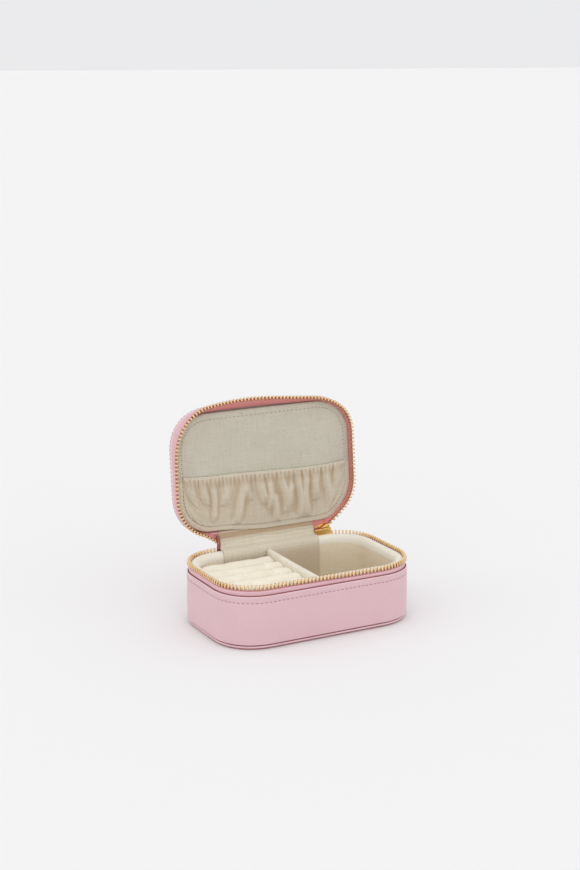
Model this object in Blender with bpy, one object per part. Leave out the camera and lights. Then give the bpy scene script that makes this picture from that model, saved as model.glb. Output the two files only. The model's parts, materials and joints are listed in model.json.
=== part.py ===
"""Travel jewelry case: a small zip-round box with a padded lid that stands open on a soft hinge.

Metres, +Z up. The origin is the centre of the base plate's underside, +Y points to the hinge side
and +X to the right. The lid is modelled closed and then turned open about its hinge line.
"""

import math

import bmesh
import bpy
import numpy as np
from mathutils import Vector

MM = 0.001
GAP = 0.3 * MM  # clearance between pieces that touch on the real case

# Outline of the base, seen from above.
CASE_WIDTH = 120.0 * MM
CASE_DEPTH = 76.3 * MM
CORNER_RADIUS = 25.6 * MM
CORNER_POWER = 2.2  # 2 is a true arc, more is squarer
CORNER_STEPS = 9
FINE_STEPS = 60  # steps per corner where a run is measured along the outline

# Heights of the base.
PLATE_THICKNESS = 2.0 * MM
PLATE_INSET = 0.6 * MM
SPIGOT_HEIGHT = 2.0 * MM
SLEEVE_HEIGHT = 28.0 * MM
SLEEVE_BOTTOM = PLATE_THICKNESS + GAP
SLEEVE_TOP = SLEEVE_BOTTOM + SLEEVE_HEIGHT

# Sheet and board thicknesses.
LEATHER = 0.7 * MM
TAPE = 0.5 * MM
BOARD = 1.4 * MM
LINING = 0.75 * MM

# The zip stands between the base's top edge and the lid's edge.
ZIP_OPENING = 11.5 * MM
ZIP_MIDDLE = SLEEVE_TOP + ZIP_OPENING / 2
LID_EDGE = SLEEVE_TOP + ZIP_OPENING
TOOTH_LENGTH = 2.2 * MM
TOOTH_ROOT = 1.3 * MM
TOOTH_THICKNESS = 2.6 * MM
TOOTH_WAIST = 1.6 * MM
TOOTH_PITCH = 2.3 * MM
TAPE_HIDDEN = 6.0 * MM  # how far the tape runs down behind the leather

# The padded tray inside the base.
WALL_SPACE = LEATHER + GAP + TAPE + GAP  # from the outline to the board's outer face
TRAY_WALL = 3.5 * MM
TRAY_INSET = WALL_SPACE + BOARD + GAP
CAVITY_INSET = TRAY_INSET + TRAY_WALL
RIM_HEIGHT = SLEEVE_TOP + 3.3 * MM
RIM_FLANGE = 3.8 * MM
RIM_ROUNDING = 0.9 * MM
FLOOR_THICKNESS = 2.0 * MM
TRAY_BOTTOM = PLATE_THICKNESS + SPIGOT_HEIGHT + GAP
FLOOR_TOP = TRAY_BOTTOM + FLOOR_THICKNESS

# Divider and ring rolls.
DIVIDER_X = -3.0 * MM
DIVIDER_THICKNESS = 3.4 * MM
DIVIDER_TOP = RIM_HEIGHT - 1.6 * MM
ROLL_COUNT = 5
ROLL_MARGIN = 2.9 * MM  # free space in front of the first roll and behind the last
ROLL_TOP = RIM_HEIGHT - 3.6 * MM
ROLL_CROWN = 5.6 * MM
BED_HEIGHT = 8.0 * MM

# Hinge: a leather strip outside and a linen strip inside, folded at the lid's edge.
HINGE_END_MARGIN = 4.2 * MM  # from the strip's end to where the corner starts
HINGE_WIDTH = CASE_WIDTH - 2 * CORNER_RADIUS - 2 * HINGE_END_MARGIN
HINGE_TURN_DOWN = 2.0 * MM  # from the linen strip's lower edge to the tray's floor
HINGE_Y = CASE_DEPTH / 2 + 0.95 * MM
HINGE_Z = LID_EDGE - 0.2 * MM
OPEN_ANGLE = math.radians(95.0)
CHAIN_END_CLEARANCE = 0.7 * MM

# Lid, measured closed. Its edge lies flush with the zip tape.
LID_INSET = 1.15 * MM
LID_HEIGHT = 6.0 * MM
LID_CROWN = 0.4 * MM
LID_TAPE_LEAN = 1.2 * MM  # how much further in the tape sits at the lid than at the teeth
PANEL_INSET = 3.4 * MM
PANEL_FACE = 1.1 * MM  # how far the lining panel stands below the lid's edge
PANEL_THICKNESS = 2.2 * MM
PANEL_ROUNDING = 0.7 * MM

# Pocket on the lining panel.
POCKET_DEPTH = 31.5 * MM
POCKET_BULGE = 1.9 * MM
POCKET_SHEET = 0.6 * MM
POCKET_INSET = 5.4 * MM
ELASTIC_WIDTH = 2.5 * MM
ELASTIC_THICKNESS = 0.35 * MM
ELASTIC_REACH = 0.8  # share of the pocket's half width

# Slider, its ring and its pull.
SLIDER_LENGTH = 10.5 * MM
SLIDER_LID_CLEARANCE = 1.2 * MM
SLIDER_PLATE = 1.0 * MM
SLIDER_SHOULDER = 1.2 * MM
SLIDER_START = HINGE_WIDTH / 2 + 1.4 * MM
NECK_LENGTH = 2.6 * MM
NECK_HEIGHT = 2.2 * MM
NECK_SETBACK = 0.8 * MM
BRIDGE_WIRE = 1.2 * MM
BRIDGE_LEFT_INSET = 2.0 * MM
BRIDGE_RIGHT_INSET = 1.6 * MM
BRIDGE_BEND = 0.4 * MM
RING_WIRE = 1.0 * MM
RING_DROP = 6.2 * MM  # from the bridge's bar down to the inside of the ring's lower end
PULL_LENGTH = 21.0 * MM
PULL_WIDTH = 6.0 * MM
PULL_THICKNESS = 1.2 * MM
PULL_SHOULDER = 0.9 * MM
PULL_HEAD = 1.5 * MM  # metal above the hole
HOLE_LENGTH = 3.0 * MM
HOLE_SIDE_ROOM = 0.7 * MM


def material(name, color, roughness, metallic=0.0):
    """A Principled material."""
    made = bpy.data.materials.new(name)
    made.use_nodes = True
    shader = made.node_tree.nodes["Principled BSDF"]
    shader.inputs["Base Color"].default_value = (*color, 1.0)
    shader.inputs["Roughness"].default_value = roughness
    shader.inputs["Metallic"].default_value = metallic
    return made


def place(name, bm, finish, pivot=None, smooth=40.0):
    """Turn a bmesh into a named object; with a pivot, its origin is that empty's place."""
    bmesh.ops.recalc_face_normals(bm, faces=bm.faces)
    mesh = bpy.data.meshes.new(name)
    if pivot is not None:
        bmesh.ops.translate(bm, vec=-Vector(pivot["closed_at"]), verts=bm.verts)
    bm.to_mesh(mesh)
    bm.free()
    mesh.shade_smooth()
    mesh.set_sharp_from_angle(angle=math.radians(smooth))
    mesh.materials.append(finish)
    made = bpy.data.objects.new(name, mesh)
    bpy.context.scene.collection.objects.link(made)
    if pivot is not None:
        made.parent = pivot
    return made


def pivot_empty(name, location, turn=0.0, parent=None):
    """An empty on a joint's axis. Pieces made for it are modelled where they lie before the turn."""
    made = bpy.data.objects.new(name, None)
    made.empty_display_size = 5.0 * MM
    made.location = location
    made.rotation_euler = (turn, 0.0, 0.0)
    made["closed_at"] = tuple(location)
    if parent is not None:
        made.parent = parent
        made.location = Vector(location) - Vector(parent["closed_at"])
    bpy.context.scene.collection.objects.link(made)
    return made


def skin(sections, ring=False):
    """Join like closed sections with quads. A ring joins the last to the first, else the ends are capped."""
    bm = bmesh.new()
    rows = [[bm.verts.new(point) for point in section] for section in sections]
    pairs = list(zip(rows, rows[1:] + rows[:1])) if ring else list(zip(rows, rows[1:]))
    for low, high in pairs:
        for i in range(len(low)):
            j = (i + 1) % len(low)
            bm.faces.new((low[i], low[j], high[j], high[i]))
    if not ring:
        bm.faces.new(rows[0])
        bm.faces.new(rows[-1])
    return bm


def outline(inset, steps=CORNER_STEPS):
    """The case's outline from above, this far inside the leather, clockwise from the back right corner."""
    half_width = CASE_WIDTH / 2 - inset
    half_depth = CASE_DEPTH / 2 - inset
    radius = CORNER_RADIUS - inset
    turn = np.linspace(0.0, math.pi / 2, steps + 1)
    rise = np.cos(turn) ** (2 / CORNER_POWER) * radius
    reach = np.sin(turn) ** (2 / CORNER_POWER) * radius
    across, along = half_width - radius, half_depth - radius
    corner = np.stack([across + reach, along + rise], axis=1)
    right = np.concatenate([corner, corner[::-1] * (1, -1)])
    return np.concatenate([right, right[::-1] * (-1, 1)])


def level(inset, height):
    """One closed section: the outline at this inset and height."""
    flat = outline(inset)
    return np.column_stack([flat, np.full(len(flat), height)])


def chain_run(inset, count, right_start, left_end):
    """Evenly spaced points and outward normals round the front, from the back right to the back left."""
    fine = outline(inset, FINE_STEPS)
    back_middle = np.array([[0.0, CASE_DEPTH / 2 - inset]])
    fine = np.concatenate([back_middle, fine, back_middle])
    length = np.concatenate([[0.0], np.cumsum(np.linalg.norm(np.diff(fine, axis=0), axis=1))])
    corner = slice(0, FINE_STEPS)
    start = np.interp(right_start, fine[corner, 0], length[corner])
    end = length[-1] - np.interp(-left_end, fine[corner, 0], length[corner])
    at = np.linspace(start, end, count)
    points = np.column_stack([np.interp(at, length, fine[:, i]) for i in (0, 1)])
    step = 0.2 * MM
    ahead = np.column_stack([np.interp(at + step, length, fine[:, i]) for i in (0, 1)])
    behind = np.column_stack([np.interp(at - step, length, fine[:, i]) for i in (0, 1)])
    forward = ahead - behind
    forward /= np.linalg.norm(forward, axis=1)[:, None]
    return points, np.column_stack([-forward[:, 1], forward[:, 0]])


def half_width_at(y, inset):
    """Half the outline's width at this depth position."""
    radius = CORNER_RADIUS - inset
    into = max(abs(y) - (CASE_DEPTH / 2 - CORNER_RADIUS), 0.0) / radius
    reach = max(1 - into**CORNER_POWER, 0.0) ** (1 / CORNER_POWER)
    return CASE_WIDTH / 2 - CORNER_RADIUS + radius * reach


def box(low, high):
    """A plain block between two corners."""
    bm = bmesh.new()
    bmesh.ops.create_cube(bm, size=1.0)
    for vert in bm.verts:
        vert.co = [low[i] if vert.co[i] < 0 else high[i] for i in range(3)]
    return bm


def across(profile, low_x, high_x):
    """A (y, z) profile carried along X."""
    return skin([[(x, y, z) for y, z in profile] for x in (low_x, high_x)])


# Remove whatever the scene holds.
for leftover in list(bpy.data.objects):
    bpy.data.objects.remove(leftover, do_unlink=True)

pink_leather = material("pink_leather", (0.70, 0.50, 0.53), 0.45)
pink_tape = material("pink_tape", (0.62, 0.38, 0.40), 0.8)
grey_board = material("grey_board", (0.35, 0.33, 0.30), 0.9)
cream_velvet = material("cream_velvet", (0.84, 0.80, 0.70), 0.95)
linen = material("linen", (0.54, 0.49, 0.39), 0.95)
foam = material("foam", (0.80, 0.78, 0.72), 0.95)
gold_metal = material("gold_metal", (0.80, 0.56, 0.26), 0.25, 1.0)
white_elastic = material("white_elastic", (0.75, 0.73, 0.68), 0.85)

# Base: plate, leather sleeve and stiff board.
place(
    "base_plate",
    skin(
        [
            level(PLATE_INSET, 0.0),
            level(PLATE_INSET, PLATE_THICKNESS),
            level(LEATHER + GAP, PLATE_THICKNESS),
            level(LEATHER + GAP, PLATE_THICKNESS + SPIGOT_HEIGHT),
        ]
    ),
    pink_leather,
)
place(
    "base_sleeve",
    skin(
        [
            level(0.0, SLEEVE_BOTTOM),
            level(0.0, SLEEVE_TOP - LEATHER / 2),
            level(LEATHER / 3, SLEEVE_TOP),
            level(LEATHER, SLEEVE_TOP),
            level(LEATHER, SLEEVE_BOTTOM),
        ],
        ring=True,
    ),
    pink_leather,
)
BOARD_TOP = SLEEVE_TOP - 2.0 * MM
place(
    "base_wall_board",
    skin(
        [
            level(WALL_SPACE, TRAY_BOTTOM),
            level(WALL_SPACE, BOARD_TOP),
            level(WALL_SPACE + BOARD, BOARD_TOP),
            level(WALL_SPACE + BOARD, TRAY_BOTTOM),
        ],
        ring=True,
    ),
    grey_board,
)

# Base: padded tray, its floor and the divider.
RIM_OUTER = WALL_SPACE
FLANGE_BOTTOM = RIM_HEIGHT - RIM_FLANGE
place(
    "tray_wall",
    skin(
        [
            level(TRAY_INSET, TRAY_BOTTOM),
            level(TRAY_INSET, FLANGE_BOTTOM - 2 * GAP),
            level(RIM_OUTER, FLANGE_BOTTOM),
            level(RIM_OUTER, RIM_HEIGHT - RIM_ROUNDING),
            level(RIM_OUTER + RIM_ROUNDING / 3, RIM_HEIGHT - RIM_ROUNDING / 3),
            level(RIM_OUTER + RIM_ROUNDING, RIM_HEIGHT),
            level(CAVITY_INSET - 2 * RIM_ROUNDING, RIM_HEIGHT),
            level(CAVITY_INSET - RIM_ROUNDING / 2, RIM_HEIGHT - RIM_ROUNDING / 2),
            level(CAVITY_INSET, RIM_HEIGHT - 2 * RIM_ROUNDING),
            level(CAVITY_INSET, TRAY_BOTTOM),
        ],
        ring=True,
    ),
    cream_velvet,
)
place(
    "tray_floor",
    skin([level(CAVITY_INSET + GAP, TRAY_BOTTOM), level(CAVITY_INSET + GAP, FLOOR_TOP)]),
    linen,
)
CAVITY_FRONT = -(CASE_DEPTH / 2 - CAVITY_INSET)
LINING_FACE = -CAVITY_FRONT - GAP - LINING  # the linen strip's face on the cavity's back wall
DIVIDER_HALF = DIVIDER_THICKNESS / 2
divider_profile = [(-DIVIDER_HALF, FLOOR_TOP + GAP), (DIVIDER_HALF, FLOOR_TOP + GAP)]
for angle in np.linspace(0.0, math.pi, 7):
    side, rise = DIVIDER_HALF * math.cos(angle), DIVIDER_HALF * math.sin(angle)
    divider_profile.append((side, DIVIDER_TOP - DIVIDER_HALF + rise))
place(
    "tray_divider",
    skin(
        [
            [(DIVIDER_X + x, y, z) for x, z in divider_profile]
            for y in (CAVITY_FRONT + GAP, LINING_FACE - GAP)
        ]
    ),
    cream_velvet,
)

# Ring rolls side by side on a foam bed in the left compartment.
ROLL_RIGHT = DIVIDER_X - DIVIDER_HALF - GAP
BED_BOTTOM = FLOOR_TOP + GAP
BED_TOP = BED_BOTTOM + BED_HEIGHT
bed_front = CAVITY_FRONT + 2 * GAP
bed_back = LINING_FACE - GAP
bed_lines = np.linspace(bed_front, bed_back, 25)
bed_section = [(-half_width_at(y, CAVITY_INSET + GAP), y) for y in bed_lines]
bed_section += [(ROLL_RIGHT, bed_back), (ROLL_RIGHT, bed_front)]
place(
    "ring_bed",
    skin([[(x, y, z) for x, y in bed_section] for z in (BED_BOTTOM, BED_TOP)]),
    foam,
)
ROLL_PITCH = (LINING_FACE - CAVITY_FRONT - 2 * ROLL_MARGIN) / ROLL_COUNT
ROLL_HALF = (ROLL_PITCH - GAP) / 2
ROLLS_MIDDLE = (LINING_FACE + CAVITY_FRONT) / 2
for number in range(ROLL_COUNT):
    middle = ROLLS_MIDDLE + (number - (ROLL_COUNT - 1) / 2) * ROLL_PITCH
    roll_profile = [(-ROLL_HALF, BED_TOP + GAP)]
    roll_profile += [
        (-ROLL_HALF * math.cos(a), ROLL_TOP - ROLL_CROWN + ROLL_CROWN * math.sin(a))
        for a in np.linspace(0.0, math.pi, 13)
    ]
    roll_profile += [(ROLL_HALF, BED_TOP + GAP), (0.0, BED_TOP + GAP)]
    left_end = [
        (-half_width_at(middle + y, CAVITY_INSET + GAP), middle + y, z) for y, z in roll_profile
    ]
    right_end = [(ROLL_RIGHT, middle + y, z) for y, z in roll_profile]
    place(f"ring_roll_{number + 1}", skin([left_end, right_end]), cream_velvet)

# Zip: one tape and one row of teeth on the base, the same on the lid.
CHAIN_INSET = LEATHER + GAP + TAPE / 2
CHAIN_LEFT = -HINGE_WIDTH / 2 - CHAIN_END_CLEARANCE
CHAIN_RIGHT = SLIDER_START + SLIDER_LENGTH + CHAIN_END_CLEARANCE
TOOTH_TIP = ZIP_MIDDLE - GAP / 2
TAPE_TOP = TOOTH_TIP - TOOTH_LENGTH - GAP
TAPE_POINTS = 61


def teeth(tip, root):
    """A row of teeth: the section swells at each tooth and narrows between two."""
    rough, _ = chain_run(CHAIN_INSET, 400, CHAIN_RIGHT, CHAIN_LEFT)
    run = np.linalg.norm(np.diff(rough, axis=0), axis=1).sum()
    count = 2 * round(run / TOOTH_PITCH) + 1
    points, outward = chain_run(CHAIN_INSET, count, CHAIN_RIGHT, CHAIN_LEFT)
    toward = 1 if tip > root else -1
    sections = []
    for i, (point, normal) in enumerate(zip(points, outward)):
        is_tooth = i % 2 == 0
        reach = tip if is_tooth else root + toward * TOOTH_ROOT
        spread = (TOOTH_THICKNESS if is_tooth else TOOTH_WAIST) / 2
        outer, inner = point + normal * spread, point - normal * spread
        sections.append([(*outer, root), (*outer, reach), (*inner, reach), (*inner, root)])
    return skin(sections)


base_run = chain_run(CHAIN_INSET, TAPE_POINTS, HINGE_WIDTH / 2 + CHAIN_END_CLEARANCE, CHAIN_LEFT)
tape_sections = []
for point, normal in zip(*base_run):
    under_slider = point[1] > 0 and HINGE_WIDTH / 2 < point[0] < CHAIN_RIGHT + GAP
    top = SLEEVE_TOP + 3 * GAP if under_slider else TAPE_TOP
    outer, inner = point + normal * TAPE / 2, point - normal * TAPE / 2
    low = SLEEVE_TOP - TAPE_HIDDEN
    tape_sections.append([(*outer, low), (*outer, top), (*inner, top), (*inner, low)])
place("base_zip_tape", skin(tape_sections), pink_tape)
place("base_zip_teeth", teeth(TOOTH_TIP, TOOTH_TIP - TOOTH_LENGTH), gold_metal)

# Hinge strips, up to the fold at the lid's edge.
BACK = CASE_DEPTH / 2
TONGUE_FACE = BACK - LEATHER - GAP
place(
    "hinge_leather",
    across(
        [
            (TONGUE_FACE - TAPE, SLEEVE_TOP - TAPE_HIDDEN),
            (TONGUE_FACE, SLEEVE_TOP - TAPE_HIDDEN),
            (TONGUE_FACE, SLEEVE_TOP + GAP),
            (BACK, SLEEVE_TOP + 2 * GAP),
            (BACK, LID_EDGE - 2 * GAP),
            (BACK - LEATHER, LID_EDGE - 2 * GAP),
            (BACK - LEATHER, SLEEVE_TOP + 4 * GAP),
            (TONGUE_FACE - TAPE, SLEEVE_TOP + 3 * GAP),
        ],
        -HINGE_WIDTH / 2,
        HINGE_WIDTH / 2,
    ),
    pink_leather,
)
LINING_BACK = BACK - RIM_OUTER + GAP
place(
    "hinge_lining",
    across(
        [
            (LINING_FACE, FLOOR_TOP + HINGE_TURN_DOWN),
            (LINING_FACE + LINING, FLOOR_TOP + HINGE_TURN_DOWN),
            (LINING_FACE + LINING, RIM_HEIGHT + GAP),
            (LINING_BACK, RIM_HEIGHT + GAP),
            (LINING_BACK, LID_EDGE - 2 * GAP),
            (LINING_BACK - LINING, LID_EDGE - 2 * GAP),
            (LINING_BACK - LINING, RIM_HEIGHT + GAP + LINING),
            (LINING_FACE, RIM_HEIGHT + GAP + LINING),
        ],
        -HINGE_WIDTH / 2,
        HINGE_WIDTH / 2,
    ),
    linen,
)

# Lid: everything below turns open about the hinge line.
hinge = pivot_empty("lid_hinge_line", (0.0, HINGE_Y, HINGE_Z), turn=-OPEN_ANGLE)
EDGE_ROUND = LID_HEIGHT - LID_CROWN
CROWN_INSET = 20.0 * MM


def lid_round(offset):
    """Levels of the lid's rounded edge, this far inside its outer face, from the edge up to the crown."""
    radius = EDGE_ROUND - offset
    levels = [level(LID_INSET + offset, LID_EDGE)]
    for angle in np.linspace(0.0, math.pi / 2, 7):
        inset = LID_INSET + EDGE_ROUND - radius * math.cos(angle)
        levels.append(level(inset, LID_EDGE + GAP + (radius - GAP) * math.sin(angle)))
    levels.append(level(CROWN_INSET, LID_EDGE + radius + LID_CROWN))
    return levels


place("lid_cover", skin(lid_round(LEATHER)[::-1] + lid_round(0.0)), pink_leather, hinge)
PANEL_LOW = LID_EDGE - PANEL_FACE
PANEL_HIGH = PANEL_LOW + PANEL_THICKNESS
place(
    "lid_lining_panel",
    skin(
        [
            level(PANEL_INSET + PANEL_ROUNDING, PANEL_LOW),
            level(PANEL_INSET + PANEL_ROUNDING / 4, PANEL_LOW + PANEL_ROUNDING / 4),
            level(PANEL_INSET, PANEL_LOW + PANEL_ROUNDING),
            level(PANEL_INSET, PANEL_HIGH),
        ]
    ),
    linen,
    hinge,
)
LID_BOARD_LOW = PANEL_HIGH + GAP
LID_BOARD_HIGH = LID_BOARD_LOW + BOARD
place(
    "lid_board",
    skin([level(PANEL_INSET + GAP, LID_BOARD_LOW), level(PANEL_INSET + 2 * GAP, LID_BOARD_HIGH)]),
    grey_board,
    hinge,
)
FOAM_LOW = LID_BOARD_HIGH + GAP
FOAM_HIGH = LID_EDGE + EDGE_ROUND - LEATHER - GAP
place(
    "lid_foam",
    skin(
        [
            level(LID_INSET + EDGE_ROUND * 0.6, FOAM_LOW),
            level(LID_INSET + EDGE_ROUND * 0.8, (FOAM_LOW + FOAM_HIGH) / 2),
            level(LID_INSET + EDGE_ROUND * 1.3, FOAM_HIGH),
        ]
    ),
    foam,
    hinge,
)

LID_TOOTH_TIP = ZIP_MIDDLE + GAP / 2
LID_TAPE_LOW = LID_TOOTH_TIP + TOOTH_LENGTH + GAP
LID_TAPE_HIGH = PANEL_HIGH
lid_run = chain_run(CHAIN_INSET, TAPE_POINTS, CHAIN_RIGHT, CHAIN_LEFT)
tape_sections = []
for point, normal in zip(*lid_run):
    outer, inner = point + normal * TAPE / 2, point - normal * TAPE / 2
    lean = -normal * LID_TAPE_LEAN
    tape_sections.append(
        [
            (*outer, LID_TAPE_LOW),
            (*(outer + lean), LID_EDGE - GAP),
            (*(outer + lean), LID_TAPE_HIGH),
            (*(inner + lean), LID_TAPE_HIGH),
            (*(inner + lean), LID_EDGE - GAP),
            (*inner, LID_TAPE_LOW),
        ]
    )
place("lid_zip_tape", skin(tape_sections), pink_tape, hinge)
place("lid_zip_teeth", teeth(LID_TOOTH_TIP, LID_TOOTH_TIP + TOOTH_LENGTH), gold_metal, hinge)

# Lid: gathered pocket and the elastic in its mouth.
POCKET_BACK = BACK - PANEL_INSET - PANEL_ROUNDING
POCKET_MOUTH = POCKET_BACK - POCKET_DEPTH
POCKET_SEAT = PANEL_LOW - GAP


def pocket_rise(x, y):
    """How far the pocket stands off the panel: nothing at the stitched edges, most below the mouth."""
    side = half_width_at(y, POCKET_INSET)
    down = (POCKET_BACK - y) / POCKET_DEPTH
    return POCKET_BULGE * max(1 - (x / side) ** 4, 0.0) * math.sin(math.pi * (0.12 + 0.6 * down))


pocket_sections = []
for y in np.linspace(POCKET_BACK, POCKET_MOUTH, 13):
    side = half_width_at(y, POCKET_INSET)
    shares = np.linspace(-1.0, 1.0, 17)
    shell = [(side * s, y, POCKET_SEAT - POCKET_SHEET - pocket_rise(side * s, y)) for s in shares]
    under = [(side * s, y, POCKET_SEAT - pocket_rise(side * s, y)) for s in shares[::-1]]
    pocket_sections.append(shell + under)
place("lid_pocket", skin(pocket_sections), linen, hinge)
ELASTIC_HALF = (CASE_WIDTH / 2 - POCKET_INSET) * ELASTIC_REACH
place(
    "pocket_elastic",
    box(
        (-ELASTIC_HALF, POCKET_MOUTH + GAP, POCKET_SEAT - ELASTIC_THICKNESS),
        (ELASTIC_HALF, POCKET_MOUTH + GAP + ELASTIC_WIDTH, POCKET_SEAT),
    ),
    white_elastic,
    hinge,
)

# Slider, parked where the zip ends at the right of the hinge.
CHAIN_Y = BACK - CHAIN_INSET
SLIDER_BOTTOM = RIM_HEIGHT + GAP
SLIDER_TOP = LID_EDGE - SLIDER_LID_CLEARANCE
SLIDER_END = SLIDER_START + SLIDER_LENGTH
CHANNEL = TOOTH_THICKNESS / 2 + GAP
SLIDER_TAPER = 0.22 * (SLIDER_TOP - SLIDER_BOTTOM)
SLIDER_WIDE_FROM = SLIDER_START + 0.45 * SLIDER_LENGTH


def slider_plate(front, back):
    """One of the two plates: wide shoulders at the mouth, narrower where the closed teeth leave."""
    shape = [
        (SLIDER_START, SLIDER_BOTTOM + SLIDER_TAPER),
        (SLIDER_WIDE_FROM, SLIDER_BOTTOM),
        (SLIDER_END - SLIDER_SHOULDER, SLIDER_BOTTOM),
        (SLIDER_END, SLIDER_BOTTOM + SLIDER_SHOULDER),
        (SLIDER_END, SLIDER_TOP - SLIDER_SHOULDER),
        (SLIDER_END - SLIDER_SHOULDER, SLIDER_TOP),
        (SLIDER_WIDE_FROM, SLIDER_TOP),
        (SLIDER_START, SLIDER_TOP - SLIDER_TAPER),
    ]
    return skin([[(x, y, z) for x, z in shape] for y in (front, back)])


def join(target, name, bm):
    """Join another shape to an object with a Boolean; the added shape stays as a hidden guide."""
    added = place(name, bm, gold_metal)
    added.hide_render = True
    added.display_type = "WIRE"
    union = target.modifiers.new(name, "BOOLEAN")
    union.operation = "UNION"
    union.solver = "EXACT"
    union.object = added


INNER_FACE = CHAIN_Y - CHANNEL
OUTER_FACE = CHAIN_Y + CHANNEL
OUTSIDE = OUTER_FACE + SLIDER_PLATE
slider = place("slider_body", slider_plate(INNER_FACE - SLIDER_PLATE, INNER_FACE), gold_metal)
join(slider, "slider_outer_plate", slider_plate(OUTER_FACE, OUTSIDE))
NECK_MIDDLE = (SLIDER_BOTTOM + SLIDER_TOP) / 2
neck_x = SLIDER_END - NECK_LENGTH - NECK_SETBACK
neck = [
    (neck_x, NECK_MIDDLE),
    (neck_x + NECK_LENGTH, NECK_MIDDLE - NECK_HEIGHT / 2),
    (neck_x + NECK_LENGTH, NECK_MIDDLE + NECK_HEIGHT / 2),
]
overlap = SLIDER_PLATE / 2
join(
    slider,
    "slider_neck",
    skin([[(x, y, z) for x, z in neck] for y in (INNER_FACE - overlap, OUTER_FACE + overlap)]),
)

# Bridge on the slider's outer plate: two legs and a bar that the ring hangs on.
RING_ROOM = RING_WIRE + 3 * GAP
BAR_Y = OUTSIDE + RING_ROOM + BRIDGE_WIRE / 2
BAR_Z = NECK_MIDDLE
BRIDGE_LEFT = SLIDER_START + BRIDGE_LEFT_INSET
BRIDGE_RIGHT = SLIDER_END - BRIDGE_RIGHT_INSET
wire = BRIDGE_WIRE / 2
bridge_outline = [
    (BRIDGE_LEFT, OUTSIDE + GAP),
    (BRIDGE_LEFT, BAR_Y + wire - BRIDGE_BEND),
    (BRIDGE_LEFT + BRIDGE_BEND, BAR_Y + wire),
    (BRIDGE_RIGHT - BRIDGE_BEND, BAR_Y + wire),
    (BRIDGE_RIGHT, BAR_Y + wire - BRIDGE_BEND),
    (BRIDGE_RIGHT, OUTSIDE + GAP),
    (BRIDGE_RIGHT - BRIDGE_WIRE, OUTSIDE + GAP),
    (BRIDGE_RIGHT - BRIDGE_WIRE, BAR_Y - wire),
    (BRIDGE_LEFT + BRIDGE_WIRE, BAR_Y - wire),
    (BRIDGE_LEFT + BRIDGE_WIRE, OUTSIDE + GAP),
]
place(
    "slider_bridge",
    skin([[(x, y, z) for x, y in bridge_outline] for z in (BAR_Z - wire, BAR_Z + wire)]),
    gold_metal,
)

# Ring that hangs on the bridge, and the pull that hangs in the ring.
PULL_X = (BRIDGE_LEFT + BRIDGE_RIGHT) / 2
ring_pivot = pivot_empty("ring_axis", (PULL_X, BAR_Y, BAR_Z))
RING_INNER_HALF = BRIDGE_WIRE / 2 + GAP
RING_OUTER_HALF = RING_INNER_HALF + RING_WIRE
RING_INNER_TOP = BAR_Z + wire + GAP
RING_INNER_BOTTOM = BAR_Z - RING_DROP


def ring_loop(half_y, low, high, cut):
    """A rectangle with clipped corners in the (y, z) plane, as a closed list."""
    return [
        (BAR_Y - half_y, low + cut),
        (BAR_Y - half_y + cut, low),
        (BAR_Y + half_y - cut, low),
        (BAR_Y + half_y, low + cut),
        (BAR_Y + half_y, high - cut),
        (BAR_Y + half_y - cut, high),
        (BAR_Y - half_y + cut, high),
        (BAR_Y - half_y, high - cut),
    ]


outer_loop = ring_loop(
    RING_OUTER_HALF, RING_INNER_BOTTOM - RING_WIRE, RING_INNER_TOP + RING_WIRE, 2 * GAP
)
inner_loop = ring_loop(RING_INNER_HALF, RING_INNER_BOTTOM, RING_INNER_TOP, GAP / 2)
place(
    "pull_ring",
    skin(
        [
            [(PULL_X + side * RING_WIRE / 2, y, z) for y, z in loop]
            for side, loop in ((-1, outer_loop), (1, outer_loop), (1, inner_loop), (-1, inner_loop))
        ],
        ring=True,
    ),
    gold_metal,
    ring_pivot,
)

PIN_Z = RING_INNER_BOTTOM - RING_WIRE / 2
pull_pivot = pivot_empty("pull_axis", (PULL_X, BAR_Y, PIN_Z), parent=ring_pivot)
HOLE_HALF_WIDTH = RING_WIRE / 2 + HOLE_SIDE_ROOM
HOLE_TOP = PIN_Z + RING_WIRE / 2 + GAP
HOLE_BOTTOM = HOLE_TOP - HOLE_LENGTH
PULL_TOP = HOLE_TOP + PULL_HEAD
PULL_BOTTOM = PULL_TOP - PULL_LENGTH
TIP_RADIUS = PULL_WIDTH / 2


def pull_loop():
    """The pull's outline in (x, z): a flat bar with clipped shoulders and a round tip, 16 points."""
    half_width = PULL_WIDTH / 2
    points = [
        (half_width, PULL_TOP - PULL_SHOULDER),
        (half_width - PULL_SHOULDER, PULL_TOP),
        (-half_width + PULL_SHOULDER, PULL_TOP),
        (-half_width, PULL_TOP - PULL_SHOULDER),
    ]
    for angle in np.linspace(math.pi, 2 * math.pi, 12):
        points.append(
            (half_width * math.cos(angle), PULL_BOTTOM + TIP_RADIUS + TIP_RADIUS * math.sin(angle))
        )
    return points


def hole_loop():
    """The hole's outline, with as many points as the pull's outline."""
    middle = (HOLE_TOP + HOLE_BOTTOM) / 2
    half_height = (HOLE_TOP - HOLE_BOTTOM) / 2
    points = []
    for x, z in pull_loop():
        angle = math.atan2(z - middle if z > HOLE_BOTTOM else (z - middle) * 0.3, x)
        stretch = 1 / max(abs(math.cos(angle)), abs(math.sin(angle)))
        points.append(
            (
                HOLE_HALF_WIDTH * math.cos(angle) * stretch,
                middle + half_height * math.sin(angle) * stretch,
            )
        )
    return points


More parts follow.
